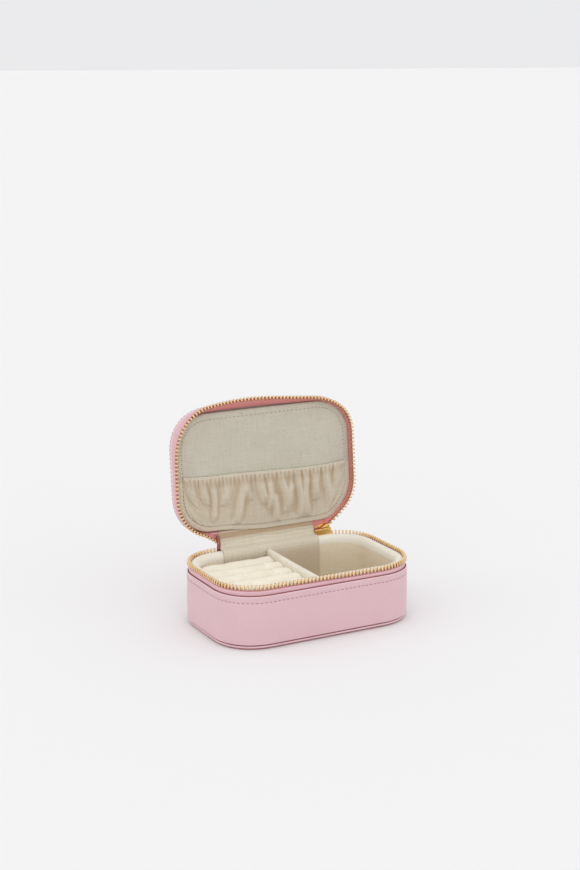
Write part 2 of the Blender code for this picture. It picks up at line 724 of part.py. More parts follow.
sides = (-PULL_THICKNESS / 2, PULL_THICKNESS / 2)
place(
    "pull_tab",
    skin(
        [
            [(PULL_X + x, BAR_Y + sides[0], z) for x, z in pull_loop()],
            [(PULL_X + x, BAR_Y + sides[1], z) for x, z in pull_loop()],
            [(PULL_X + x, BAR_Y + sides[1], z) for x, z in hole_loop()],
            [(PULL_X + x, BAR_Y + sides[0], z) for x, z in hole_loop()],
        ],
        ring=True,
    ),
    gold_metal,
    pull_pivot,
)
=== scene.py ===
"""Travel jewelry case, standing open on its soft hinge: the looks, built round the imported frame."""

import json
import math

import bmesh
import bpy
import numpy as np
from mathutils import Matrix, Vector


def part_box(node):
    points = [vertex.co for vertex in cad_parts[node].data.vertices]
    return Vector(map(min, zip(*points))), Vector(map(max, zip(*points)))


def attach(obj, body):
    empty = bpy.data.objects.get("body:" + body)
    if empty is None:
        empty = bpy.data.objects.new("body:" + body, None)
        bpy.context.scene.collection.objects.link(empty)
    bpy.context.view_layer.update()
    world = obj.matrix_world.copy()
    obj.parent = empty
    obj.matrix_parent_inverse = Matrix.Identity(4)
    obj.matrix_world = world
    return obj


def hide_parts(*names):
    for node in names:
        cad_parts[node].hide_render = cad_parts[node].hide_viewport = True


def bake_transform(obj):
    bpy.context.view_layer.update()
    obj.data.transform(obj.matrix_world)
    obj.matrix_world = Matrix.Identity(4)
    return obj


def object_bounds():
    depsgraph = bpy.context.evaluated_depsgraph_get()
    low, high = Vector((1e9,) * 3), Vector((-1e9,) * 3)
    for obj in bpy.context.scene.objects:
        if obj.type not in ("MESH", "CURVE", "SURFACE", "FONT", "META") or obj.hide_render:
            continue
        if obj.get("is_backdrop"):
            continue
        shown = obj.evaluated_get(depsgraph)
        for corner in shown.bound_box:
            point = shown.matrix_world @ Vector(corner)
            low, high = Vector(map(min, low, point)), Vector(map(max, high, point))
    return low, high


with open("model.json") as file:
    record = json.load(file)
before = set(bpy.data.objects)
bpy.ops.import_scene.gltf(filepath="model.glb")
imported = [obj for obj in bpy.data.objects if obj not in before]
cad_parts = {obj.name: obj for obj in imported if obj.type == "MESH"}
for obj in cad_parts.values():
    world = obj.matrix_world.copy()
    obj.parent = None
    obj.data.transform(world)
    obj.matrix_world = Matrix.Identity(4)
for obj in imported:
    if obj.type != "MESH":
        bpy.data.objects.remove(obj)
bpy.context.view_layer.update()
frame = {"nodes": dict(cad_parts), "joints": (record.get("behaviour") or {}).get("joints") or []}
MM = 0.001

# The table, the light and the camera. A pale matt table runs out to the horizon under an even pale
# sky, a wide soft light comes from above on the left, and a weaker one fills the front right. The
# camera looks a little down on the open case from the front left.
PALE = (0.87, 0.87, 0.87)
EYE = np.array([-411.80, -764.34, 309.74]) * MM
EYE_BACK = (-0.45806, -0.85936, 0.22732)
EYE_RIGHT = (0.88209, -0.47106, -0.00333)
EYE_UP = (0.10995, 0.19899, 0.97381)
camera = bpy.data.objects.new("camera", bpy.data.cameras.new("camera"))
camera.data.lens, camera.data.sensor_width = 66.2, 36.0
camera.data.clip_start, camera.data.clip_end = 0.01, 100.0
turn = np.eye(4)
turn[:3, 0], turn[:3, 1], turn[:3, 2], turn[:3, 3] = EYE_RIGHT, EYE_UP, EYE_BACK, EYE
camera.matrix_world = Matrix(turn)
bpy.context.scene.collection.objects.link(camera)
bpy.context.scene.camera = camera

world = bpy.data.worlds.new("studio")
world.use_nodes = True
world.node_tree.nodes["Background"].inputs["Color"].default_value = (0.985, 0.985, 1.0, 1)
world.node_tree.nodes["Background"].inputs["Strength"].default_value = 0.84
bpy.context.scene.world = world
bpy.context.scene.view_settings.view_transform = "Standard"


def add_node(tree, kind, sockets=None, **settings):
    """A shader node. Settings set its properties; sockets gives an input a value or another output."""
    made = tree.nodes.new(kind)
    for key, value in settings.items():
        setattr(made, key, value)
    for key, value in (sockets or {}).items():
        if isinstance(value, bpy.types.NodeSocket):
            tree.links.new(value, made.inputs[key])
        else:
            made.inputs[key].default_value = value
    return made


def mixed(tree, share, low, high, blend="MIX"):
    """A colour between two: low where share is 0 and high where it is 1, or the two multiplied."""
    sockets = {0: share, 6: low, 7: high}
    return add_node(tree, "ShaderNodeMix", sockets, data_type="RGBA", blend_type=blend).outputs[2]


def ranged(tree, value, to_min, to_max, from_min=0.0, from_max=1.0):
    """A value carried from one range to another, and held inside the second."""
    sockets = {
        "Value": value, "From Min": from_min, "From Max": from_max, "To Min": to_min, "To Max": to_max
    }
    return add_node(tree, "ShaderNodeMapRange", sockets).outputs["Result"]


def noise(tree, place, scale, detail, distortion=0.0):
    """Soft noise from 0 to 1, with this many waves to the metre."""
    sockets = {"Vector": place, "Scale": scale, "Detail": detail, "Distortion": distortion}
    return add_node(tree, "ShaderNodeTexNoise", sockets).outputs["Fac"]


def added(tree, first, second):
    """The sum of two values."""
    return add_node(tree, "ShaderNodeMath", {0: first, 1: second}, operation="ADD").outputs[0]


def darker(color, share):
    """A colour with each of its three parts multiplied by this share."""
    return (*(part * share for part in color[:3]), 1.0)


def raised(tree, shader, height, strength, distance):
    """Lets a height stand out on the surface, at most this far in metres."""
    sockets = {"Height": height, "Strength": strength, "Distance": distance}
    tree.links.new(add_node(tree, "ShaderNodeBump", sockets).outputs["Normal"], shader.inputs["Normal"])


def new_material(name, roughness, **constants):
    """A Principled material: (material, node tree, shader). Constants go on the shader itself."""
    made = bpy.data.materials.new(name)
    made.use_nodes = True
    shader = made.node_tree.nodes["Principled BSDF"]
    shader.inputs["Roughness"].default_value = roughness
    for key, value in constants.items():
        shader.inputs[key.replace("_", " ")].default_value = value
    return made, made.node_tree, shader


def paint(red, green, blue):
    """A colour given as it looks, 0 to 255, turned into the linear values that a shader takes."""
    share = np.array([red, green, blue]) / 255
    linear = np.where(share <= 0.04045, share / 12.92, ((share + 0.055) / 1.055) ** 2.4)
    return (*linear.tolist(), 1.0)


def wide_light(name, place, strength, softness, tint):
    """A far, very soft light from this direction, the same over the whole table."""
    light = bpy.data.lights.new(name, "SUN")
    light.energy, light.angle, light.color = strength, math.radians(softness), tint
    made = bpy.data.objects.new(name, light)
    made.rotation_euler = Vector(place).to_track_quat("Z", "Y").to_euler()
    bpy.context.scene.collection.objects.link(made)


wide_light("key_light", (-1.2, -0.5, 1.4), 0.62, 100.0, (1.0, 0.985, 0.965))
wide_light("front_light", (1.0, -1.0, 1.0), 0.35, 100.0, (1.0, 0.99, 0.98))

table_finish, tree, shader = new_material("table_finish", 0.9)
shader.inputs["Base Color"].default_value = (*PALE, 1)
mottle = noise(tree, add_node(tree, "ShaderNodeTexCoord").outputs["Object"], 8.0, 2.0)
tree.links.new(ranged(tree, mottle, 0.88, 0.92), shader.inputs["Roughness"])
TABLE = 60.0  # metres from the case to the table's edge
table_mesh = bpy.data.meshes.new("table")
table_corners = [(-TABLE, -TABLE, 0), (TABLE, -TABLE, 0), (TABLE, TABLE, 0), (-TABLE, TABLE, 0)]
table_mesh.from_pydata(table_corners, [], [(0, 1, 2, 3)])
table_mesh.materials.append(table_finish)
table = bpy.data.objects.new("table", table_mesh)
bpy.context.scene.collection.objects.link(table)
table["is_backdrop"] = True

# The base plate: a stiff board with rounded edges under the whole base, wrapped in the same pink
# leather and glued into the foot of the sleeve, with a narrow groove left between the two.
CASE_WIDTH, CASE_DEPTH = 120.0 * MM, 76.3 * MM
CORNER_RADIUS, CORNER_POWER = 25.6 * MM, 2.2
CORNER_STEPS = 60
ROUND_COUNT = 400  # points round the case


def case_outline():
    """The case's outline from above, clockwise from the middle of the back, and its running length.

    Each corner is a superellipse quarter: reach = R sin^(2/p), rise = R cos^(2/p)."""
    angle = np.linspace(0.0, np.pi / 2, CORNER_STEPS + 1)
    reach = CORNER_RADIUS * np.abs(np.sin(angle)) ** (2 / CORNER_POWER)
    rise = CORNER_RADIUS * np.abs(np.cos(angle)) ** (2 / CORNER_POWER)
    flat_x, flat_y = CASE_WIDTH / 2 - CORNER_RADIUS, CASE_DEPTH / 2 - CORNER_RADIUS
    corner = np.stack([flat_x + reach, flat_y + rise], axis=1)
    right = np.concatenate([corner, corner[::-1] * (1, -1)])
    middle = np.array([[0.0, CASE_DEPTH / 2]])
    loop = np.concatenate([middle, right, right[::-1] * (-1, 1), middle])
    step = np.linalg.norm(np.diff(loop, axis=0), axis=1)
    return loop, np.concatenate([[0.0], np.cumsum(step)])


OUTLINE, OUTLINE_AT = case_outline()
AROUND = OUTLINE_AT[-1]


def along_case(at):
    """Points on the outline at these running lengths, and the outward normals there."""
    def read(where):
        where = np.mod(where, AROUND)
        return np.stack([np.interp(where, OUTLINE_AT, OUTLINE[:, i]) for i in (0, 1)], axis=1)

    ahead = read(at + 0.5 * MM) - read(at - 0.5 * MM)
    ahead /= np.linalg.norm(ahead, axis=1)[:, None]
    return read(at), np.stack([-ahead[:, 1], ahead[:, 0]], axis=1)


def carried(profile, at):
    """A profile of (inset, height) in mm carried along the outline: rows are the profile's points.

    Each point = outline point - normal x inset, at its height."""
    points, normals = along_case(at)
    profile = np.array(profile) * MM
    flat = points[None] - normals[None] * profile[:, 0, None, None]
    height = np.broadcast_to(profile[:, 1, None, None], (*flat.shape[:2], 1))
    return np.concatenate([flat, height], axis=2)


def eased(profile, per_step=3):
    """A (inset, height) profile with a smooth Catmull-Rom curve through its points."""
    p = np.array(profile, float)
    a = np.concatenate([2 * p[:1] - p[1:2], p, 2 * p[-1:] - p[-2:-1]])
    t = (np.arange(per_step) / per_step)[None, :, None]
    p0, p1, p2, p3 = (a[k : len(a) - 3 + k, None] for k in range(4))
    curve = 0.5 * (
        2 * p1
        + (p2 - p0) * t
        + (2 * p0 - 5 * p1 + 4 * p2 - p3) * t**2
        + (3 * p1 - p0 - 3 * p2 + p3) * t**3
    )
    return np.concatenate([curve.reshape(-1, 2), p[-1:]])


def put_mesh(name, points, faces, finish, corner_uv=None, **marks):
    """A smooth-shaded object at the origin, its faces turned outwards."""
    mesh = bpy.data.meshes.new(name)
    mesh.from_pydata(points.reshape(-1, 3).tolist(), [], faces)
    mesh.materials.append(finish)
    if corner_uv is not None:
        mesh.uv_layers.new(name="UVMap").data.foreach_set("uv", corner_uv.ravel())
    for mark, amount in marks.items():
        spread = np.broadcast_to(amount, points.shape[:-1]).astype(np.float32)
        mesh.attributes.new(mark, "FLOAT", "POINT").data.foreach_set("value", spread.ravel())
    bm = bmesh.new()
    bm.from_mesh(mesh)
    bmesh.ops.recalc_face_normals(bm, faces=bm.faces)
    bm.to_mesh(mesh)
    bm.free()
    mesh.shade_smooth()
    made = bpy.data.objects.new(name, mesh)
    bpy.context.scene.collection.objects.link(made)
    return made


def surface(name, points, finish, loop_rows=False, loop_columns=True, caps=True, **marks):
    """A skin over a grid of points, rows by columns; open ends are closed with one flat face each.

    marks are named amounts from 0 to 1 on the points, such as paler edges (partly painted highlight) or
    painted shade, which the finish reads.

    Its UV runs in metres: across the rows and along the columns, measured on the middle lines."""
    rows, columns = points.shape[:2]
    i = np.arange(rows if loop_rows else rows - 1)[:, None]
    j = np.arange(columns if loop_columns else columns - 1)[None, :]
    places = [(i, j), (i, j + 1), (i + 1, j + 1), (i + 1, j)]
    quads = np.stack([(a % rows) * columns + b % columns for a, b in places], axis=-1).reshape(-1, 4)
    faces = quads.tolist()
    along = np.linalg.norm(np.diff(points[rows // 2], axis=0, append=points[rows // 2][:1]), axis=1)
    over = np.linalg.norm(np.diff(points[:, 0], axis=0, append=points[:1, 0]), axis=1)
    u, v = (np.concatenate([[0.0], np.cumsum(step)]) for step in (along, over))
    uv = np.stack(
        [np.stack([u[b] + 0 * a, v[a] + 0 * b], axis=-1) for a, b in places], axis=2
    ).reshape(-1, 2)
    ends = []
    if caps and not loop_rows:
        ends += [np.arange(columns), (rows - 1) * columns + np.arange(columns)]
    if caps and not loop_columns:
        ends += [np.arange(rows) * columns, np.arange(rows) * columns + columns - 1]
    for end in ends:
        faces.append(end.tolist())
        uv = np.concatenate([uv, points.reshape(-1, 3)[end][:, :2]])
    return put_mesh(name, points, faces, finish, uv, **marks)


def creased(tree, finish, shade_color):
    """Darkens a colour towards a shade colour where the mesh's mark for painted shade is high: painted shade
    in grooves, gaps and folds.
    """
    mark = add_node(tree, "ShaderNodeAttribute", attribute_name="crease").outputs["Fac"]
    return mixed(tree, mark, finish, shade_color)


# Colours of painted shade: a dark rose for the leather and the tapes, a warm tan for the linen.
ROSE_SHADE, TAN_SHADE = paint(186, 108, 112), paint(172, 140, 104)


def leather(name, color, worn_and_lit, grain=0.12):
    """Fine-grained leather: soft clouds of tone, a pebble grain, paler edges that are partly rubbing and
    partly painted highlight, and painted shade in its grooves.
    """
    made, tree, shader = new_material(
        name, 0.42, Specular_IOR_Level=0.45, Coat_Weight=0.16, Coat_Roughness=0.3
    )
    place = add_node(tree, "ShaderNodeTexCoord").outputs["Object"]
    cloud = noise(tree, place, 60.0, 4.0)
    pore = noise(tree, place, 3500.0, 3.0)
    cells = {"Vector": place, "Scale": 1500.0}
    pebble = add_node(tree, "ShaderNodeTexVoronoi", cells, feature="SMOOTH_F1").outputs["Distance"]
    light = (*(min(part * 1.05, 1.0) for part in color[:3]), 1.0)
    tone = mixed(tree, cloud, darker(color, 0.93), light)
    grained = mixed(tree, 1.0, tone, ranged(tree, pebble, 1.0, 0.955, 0.0, 0.8), "MULTIPLY")
    # Paler edges: partly rubbing on the edges, partly painted highlight.
    mark = add_node(tree, "ShaderNodeAttribute", attribute_name="wear").outputs["Fac"]
    rubbed_and_lit = add_node(tree, "ShaderNodeMath", {0: mark, 1: cloud}, operation="MULTIPLY", use_clamp=True)
    final = mixed(tree, rubbed_and_lit.outputs[0], grained, worn_and_lit)
    # Painted shade: the colour is darkened towards a dark rose where the mesh's mark for it is high.
    tree.links.new(creased(tree, final, ROSE_SHADE), shader.inputs["Base Color"])
    tree.links.new(ranged(tree, cloud, 0.36, 0.50), shader.inputs["Roughness"])
    raised(tree, shader, added(tree, pebble, pore), grain, 0.0002)
    return made


pink_leather = leather("pink_leather", paint(222, 186, 192), paint(242, 216, 220))
AT_ROUND = np.arange(ROUND_COUNT) / ROUND_COUNT * AROUND
plate_profile = eased(
    [
        (6.0, 0.0), (3.4, 0.0), (2.5, 0.08), (1.7, 0.32), (1.05, 0.68), (0.72, 1.05), (0.6, 1.45),
        (0.7, 1.86), (0.98, 2.12), (1.5, 2.2),
    ]
)
plate_profile = np.concatenate([plate_profile, [(1.55, 2.9), (1.6, 3.6), (6.0, 3.6)]])
# A painted highlight, partly rubbing, along the plate's upper edge; painted shade in the groove above it and
# on its lower, rounded foot.
plate_wear = np.exp(-(((plate_profile[:, 1] - 1.75) / 0.3) ** 2)) * (plate_profile[:, 0] < 1.0)
plate_crease = (
    np.clip((plate_profile[:, 1] - 2.0) / 0.15, 0, 1)
    + np.clip((1.15 - plate_profile[:, 1]) / 0.35, 0, 1)
)
base_plate = surface(
    "base_plate_leather",
    carried(plate_profile, AT_ROUND),
    pink_leather,
    wear=plate_wear[:, None],
    crease=plate_crease[:, None],
)
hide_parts("base_plate")
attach(base_plate, "base")

# The sleeve: one strip of pink leather round the stiff wall, folded in at its top and bottom edges.
# A row of stitches runs just below the top and draws the leather in a little.
STITCH_HEIGHT = 26.6
sleeve_outside = eased(
    [
        (0.80, 3.6), (0.78, 3.05), (0.58, 2.76), (0.32, 2.74), (0.1, 2.94), (0.0, 3.4), (-0.05, 4.8),
        (-0.12, 8.0), (-0.15, 13.0), (-0.13, 18.0), (-0.07, 22.5), (0.0, 25.0), (0.09, 26.0),
        (0.17, STITCH_HEIGHT), (0.09, 27.2), (-0.01, 28.0), (-0.04, 28.9), (0.0, 29.6), (0.12, 30.06),
        (0.32, 30.29), (0.55, 30.27), (0.74, 30.05), (0.80, 29.6), (0.80, 28.0),
    ]
)
sleeve_profile = np.concatenate([sleeve_outside, [(0.80, 20.0), (0.80, 10.0)]])
# A painted highlight, partly rubbing, along the sleeve's top edge; painted shade on its turned-in foot and
# on the inside of its top fold, which darkens the groove next to the tape.
top_wear = np.exp(-(((sleeve_profile[:, 1] - 30.15) / 0.25) ** 2)) * (sleeve_profile[:, 0] < 0.45)
sleeve_crease = (
    np.clip((3.02 - sleeve_profile[:, 1]) / 0.16, 0, 1)
    + np.clip((sleeve_profile[:, 0] - 0.36) / 0.15, 0, 1)
)
sleeve = surface(
    "base_sleeve_leather",
    carried(sleeve_profile, AT_ROUND),
    pink_leather,
    loop_rows=True,
    wear=top_wear[:, None],
    crease=np.minimum(sleeve_crease, 1)[:, None],
)
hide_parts("base_sleeve")
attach(sleeve, "base")

STITCH_PITCH = 2.6 * MM
STITCH_OUT, STITCH_UP, STITCH_LONG = 0.20 * MM, 0.23 * MM, 0.80 * MM  # half sizes of one stitch


def bead(rows, columns):
    """A small closed ball of unit radius as (points, faces): rings of latitude, a flat face at each end."""
    lift = np.linspace(-0.9, 0.9, rows)[:, None]
    angle = (np.arange(columns) / columns * 2 * np.pi)[None, :]
    ring = np.sqrt(1 - lift**2)
    points = np.stack(
        [ring * np.cos(angle), ring * np.sin(angle), lift + 0 * angle], axis=-1
    ).reshape(-1, 3)
    i, j = np.arange(rows - 1)[:, None], np.arange(columns)[None, :]
    after = (j + 1) % columns
    quads = np.stack(
        [i * columns + j, i * columns + after, (i + 1) * columns + after, (i + 1) * columns + j], -1
    )
    faces = quads.reshape(-1, 4).tolist()
    faces += [np.arange(columns)[::-1].tolist(), ((rows - 1) * columns + np.arange(columns)).tolist()]
    return points, faces


def repeated(shape, centres, axes):
    """Copies of one small shape: point = centre + x axis0 + y axis1 + z axis2, a row of axis per copy."""
    points, faces = shape
    placed = centres[:, None, :] + sum(points[None, :, k, None] * axes[k][:, None, :] for k in range(3))
    return placed, [
        [n + shift for n in face]
        for shift in range(0, len(centres) * len(points), len(points))
        for face in faces
    ]


def thread(name, color):
    """Waxed sewing thread: a twisted strand, slightly shiny."""
    made, tree, shader = new_material(name, 0.6, Sheen_Weight=0.2)
    place = add_node(tree, "ShaderNodeTexCoord").outputs["Object"]
    strands = {"Vector": place, "Scale": 1200.0, "Distortion": 2.0}
    twist = add_node(tree, "ShaderNodeTexWave", strands, bands_direction="DIAGONAL").outputs["Fac"]
    tree.links.new(mixed(tree, twist, darker(color, 0.8), color), shader.inputs["Base Color"])
    raised(tree, shader, twist, 0.4, 0.0001)
    return made


def flat_to_space(flat, height):
    """Points in the plan with this height added."""
    return np.concatenate([flat, np.full((len(flat), 1), height)], axis=1)


rose_thread = thread("rose_thread", paint(166, 124, 136))
STITCH_SUNK, STITCH_SLANT = 0.14 * MM, 0.05
stitch_count = round(AROUND / STITCH_PITCH)
stitch_flat, stitch_out = along_case((np.arange(stitch_count) + 0.5) / stitch_count * AROUND)
out3 = np.concatenate([stitch_out, np.zeros((stitch_count, 1))], axis=1)
up3 = np.tile((0.0, 0.0, 1.0), (stitch_count, 1))
side3 = np.cross(out3, up3)
points, faces = repeated(
    bead(5, 6),
    flat_to_space(stitch_flat - stitch_out * STITCH_SUNK, STITCH_HEIGHT * MM),
    [out3 * STITCH_OUT, up3 * STITCH_UP, (side3 + STITCH_SLANT * up3) * STITCH_LONG],
)
sleeve_stitches = put_mesh("base_sleeve_stitches", points, faces, rose_thread)
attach(sleeve_stitches, "base")

# The base's half of the zip: a pink tape sewn inside the sleeve's top edge, which stands up a few
# millimetres and carries the teeth. It runs from the left end of the hinge strip round the front.
CHAIN_INSET = 1.25
CHAIN_LEFT, CHAIN_RIGHT, SLIDER_START = -30.9 * MM, 42.8 * MM, 31.6 * MM
TOOTH_PITCH = 2.3 * MM
TAPE_RIGHT = 31.0 * MM
right_corner = slice(0, CORNER_STEPS + 2)


def length_at(x):
    """The running length on the outline where it leaves the back at this x, on either side."""
    reached = np.interp(abs(x), OUTLINE[right_corner, 0], OUTLINE_AT[right_corner])
    return reached if x > 0 else AROUND - reached


def woven(name, color, pale, thread_size, strength=0.5, speck=0.0, sheen=0.15, shade_color=ROSE_SHADE):
    """Plain-woven cloth on its UV, in metres: crossing threads, uneven slubs both ways, dark specks."""
    made, tree, shader = new_material(
        name, 0.85, Specular_IOR_Level=0.2, Sheen_Weight=sheen, Sheen_Roughness=0.5
    )
    flat = add_node(tree, "ShaderNodeTexCoord").outputs["UV"]
    waves, slubs = [], []
    bands = {
        "Vector": flat,
        "Scale": 2 * math.pi / (20 * thread_size),
        "Distortion": 0.8,
        "Detail": 1.0,
        "Detail Scale": 0.3,
    }
    for way, long_way in (("X", (90.0, 1400.0, 1.0)), ("Y", (1400.0, 90.0, 1.0))):
        waves.append(add_node(tree, "ShaderNodeTexWave", bands, bands_direction=way).outputs["Fac"])
        stretched = add_node(tree, "ShaderNodeMapping", {"Vector": flat, "Scale": long_way}).outputs[0]
        slubs.append(noise(tree, stretched, 1.0, 2.0))
    weave, slub = added(tree, *waves), added(tree, *slubs)
    uneven = added(tree, slub, noise(tree, flat, 45.0, 3.0))
    tone = mixed(tree, ranged(tree, uneven, 0.0, 1.0, 1.0, 2.0), color, pale)
    last = mixed(tree, 1.0, tone, ranged(tree, weave, 0.86, 1.06, 0.0, 2.0), "MULTIPLY")
    if speck:
        chosen = ranged(tree, noise(tree, flat, 1100.0, 1.0), 0.0, speck, 0.66, 0.72)
        last = mixed(tree, chosen, last, darker(color, 0.45))
    # Painted shade: the cloth is darkened towards its shade colour where the mesh's mark for it is high.
    tree.links.new(creased(tree, last, shade_color), shader.inputs["Base Color"])
    raised(tree, shader, added(tree, weave, slub), strength, 0.00015)
    return made


pink_tape = woven("pink_tape", paint(222, 178, 186), paint(232, 194, 200), 0.35 * MM, 0.3, sheen=0.1)
TAPE_POINTS = 330
tape_at = np.linspace(length_at(TAPE_RIGHT), length_at(CHAIN_LEFT), TAPE_POINTS)
tape_outside = eased(
    [
        (1.2, 26.0), (1.2, 29.5), (1.12, 30.4), (0.9, 31.1), (0.8, 31.8), (0.88, 32.6), (0.98, 33.3),
        (1.1, 33.65), (1.25, 33.75), (1.4, 33.65), (1.5, 33.3),
    ]
)
tape_profile = np.concatenate([tape_outside, [(1.55, 30.0), (1.55, 26.0)]])


def sagged(points):
    """The slack front of the zip sinks a little between its corners: down by a smooth hump over x."""
    middle, spread, sink, sleeve_top = 22 * MM, 30 * MM, 0.7 * MM, 30.8 * MM
    hump = np.exp(-(((points[..., 0] - middle) / spread) ** 2)) * (points[..., 1] < -20 * MM)
    moved = points.copy()
    moved[..., 2] -= sink * hump * np.clip((points[..., 2] - sleeve_top) / (2 * MM), 0, 1)
    return moved


base_tape_points = sagged(carried(tape_profile, tape_at))
# Painted shade on the tape low down, where it dips into the groove, and along its top edge between the
# teeth.
tape_crease = (
    np.clip((31.0 - tape_profile[:, 1]) / 0.5, 0, 1)
    + np.clip((tape_profile[:, 1] - 33.0) / 0.4, 0, 0.8)
)
TAPE_UNDER_SLIDER = 31.2 * MM
tape_x, tape_y, tape_z = (base_tape_points[..., k] for k in range(3))
under_slider = (tape_x > SLIDER_START - 0.8 * MM) & (tape_x < CHAIN_RIGHT) & (tape_y > 0)
base_tape_points[..., 2] = np.where(under_slider, np.minimum(tape_z, TAPE_UNDER_SLIDER), tape_z)
base_tape = surface(
    "base_tape",
    base_tape_points,
    pink_tape,
    loop_rows=True,
    loop_columns=False,
    crease=tape_crease[:, None],
)
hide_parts("base_zip_tape")
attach(base_tape, "base")

# The base's teeth: small stamped gold-coloured metal teeth, each crimped on the tape's edge on its
# own, with two legs that grip it and a narrower head that reaches up.


def metal(name, color, dull):
    """Polished plated metal with faint handling marks."""
    made, tree, shader = new_material(name, 0.25, Metallic=1.0)
    smear = noise(tree, add_node(tree, "ShaderNodeTexCoord").outputs["Object"], 500.0, 3.0)
    tree.links.new(mixed(tree, smear, dull, color), shader.inputs["Base Color"])
    tree.links.new(ranged(tree, smear, 0.16, 0.34), shader.inputs["Roughness"])
    raised(tree, shader, smear, 0.08, 0.0001)
    return made


gold_teeth = metal("gold_teeth", paint(250, 224, 184), paint(220, 182, 134))


def tooth():
    """One tooth standing up: rings of a rounded rectangle, half sizes across and along by height."""
    height = np.array([-1.55, -1.42, -0.6, -0.05, 0.15, 0.75, 0.95])
    across = np.array([0.85, 1.12, 1.18, 1.14, 0.86, 0.80, 0.50])
    along = np.array([0.36, 0.47, 0.50, 0.48, 0.58, 0.56, 0.36])
    sides = 8
    angle = np.arange(sides) / sides * 2 * np.pi + np.pi / sides
    square_x, square_y = (
        np.sign(turn) * np.abs(turn) ** 0.5 for turn in (np.cos(angle), np.sin(angle))
    )
    rings = (across[:, None] * square_x, along[:, None] * square_y, height[:, None] + 0 * square_x)
    i, j = np.arange(len(height) - 1)[:, None], np.arange(sides)[None, :]
    after = (j + 1) % sides
    quads = np.stack(
        [i * sides + j, i * sides + after, (i + 1) * sides + after, (i + 1) * sides + j], -1
    )
    top = (len(height) - 1) * sides
    faces = (
        quads.reshape(-1, 4).tolist()
        + [list(range(sides - 1, -1, -1)), list(range(top, top + sides))]
    )
    return np.stack(rings, -1).reshape(-1, 3) * MM, faces


chain_start, chain_end = length_at(CHAIN_RIGHT), length_at(CHAIN_LEFT)
tooth_count = int((chain_end - chain_start) / TOOTH_PITCH)
tooth_at = chain_start + (np.arange(tooth_count) + 0.25) * TOOTH_PITCH
TOOTH_MIDDLE = 35.4 * MM
flat, outward = along_case(tooth_at)
out3 = np.concatenate([outward, np.zeros((tooth_count, 1))], axis=1)
up3 = np.tile((0.0, 0.0, 1.0), (tooth_count, 1))
centres = flat_to_space(flat - outward * CHAIN_INSET * MM, TOOTH_MIDDLE)
points, faces = repeated(tooth(), centres, [out3, np.cross(up3, out3), up3])
base_teeth = put_mesh("base_teeth", sagged(points), faces, gold_teeth)
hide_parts("base_zip_teeth")
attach(base_teeth, "base")

# The tray: a moulded card wall wrapped in thin foam and linen, dropped into the base. Its padded rim
# rolls outwards over the wall, just below the teeth.
linen_tray = woven(
    "linen_tray", paint(226, 212, 186), paint(238, 227, 204), 0.42 * MM, 0.35, speck=0.35
)
rim_cloth = woven("rim_cloth", paint(242, 236, 222), paint(250, 246, 236), 0.38 * MM, 0.3, speck=0.1)
rim_profile = eased(
    [
        (3.5, 29.6), (2.5, 30.0), (1.95, 30.9), (1.86, 32.2), (2.0, 33.3), (2.55, 34.25), (3.55, 34.85),
        (4.8, 34.75),
        (5.9, 34.1), (6.65, 33.0), (6.98, 31.6), (7.02, 30.2), (6.6, 29.8),
    ]
)
tray_rim = surface("tray_rim", carried(rim_profile, AT_ROUND), rim_cloth, loop_rows=True)
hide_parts("tray_wall")
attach(tray_rim, "base")
wall_profile = [
    (3.5, 4.4), (3.5, 16.0), (3.5, 29.9), (6.9, 30.6), (7.02, 30.4), (7.04, 24.0), (7.0, 18.0),
    (7.0, 12.0), (7.0, 7.0), (7.0, 4.4),
]
tray_wall = surface("tray_wall_linen", carried(wall_profile, AT_ROUND), linen_tray, loop_rows=True)
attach(tray_wall, "base")

# The tray's floor: a card cut to the cavity and covered in the same linen, glued in from above.
linen_floor = woven(
    "linen_floor", paint(210, 195, 166), paint(224, 211, 186), 0.42 * MM, 0.35, speck=0.35
)
floor_ring = carried([(7.35, 4.4), (7.32, 5.6), (7.6, 6.1), (8.4, 6.3)], AT_ROUND)
shrink = np.array([0.75, 0.5, 0.25, 0.02])[:, None, None]
floor_middle = floor_ring[-1][None] * np.concatenate(
    [np.repeat(shrink, 2, 2), np.ones_like(shrink)], axis=2
)
tray_floor = surface("tray_floor_linen", np.concatenate([floor_ring, floor_middle]), linen_floor)
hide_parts("tray_floor")
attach(tray_floor, "base")

# The divider: a board padded and covered in cream suede, glued upright across the tray.


def suede(name, color, pale, sheen):
    """Short-pile suede: soft clouds where the pile lies differently, and a bloom at grazing angles."""
    made, tree, shader = new_material(
        name, 0.95, Specular_IOR_Level=0.1, Sheen_Weight=sheen, Sheen_Roughness=0.35
    )
    place = add_node(tree, "ShaderNodeTexCoord").outputs["Object"]
    brushed = noise(tree, place, 160.0, 4.0, 0.6)
    pile = noise(tree, place, 2600.0, 2.0)
    tone = mixed(tree, ranged(tree, brushed, 0.0, 1.0, 0.3, 0.7), color, pale)
    final = mixed(tree, 1.0, tone, ranged(tree, pile, 0.94, 1.05), "MULTIPLY")
    tree.links.new(final, shader.inputs["Base Color"])
    raised(tree, shader, pile, 0.35, 0.0002)
    return made


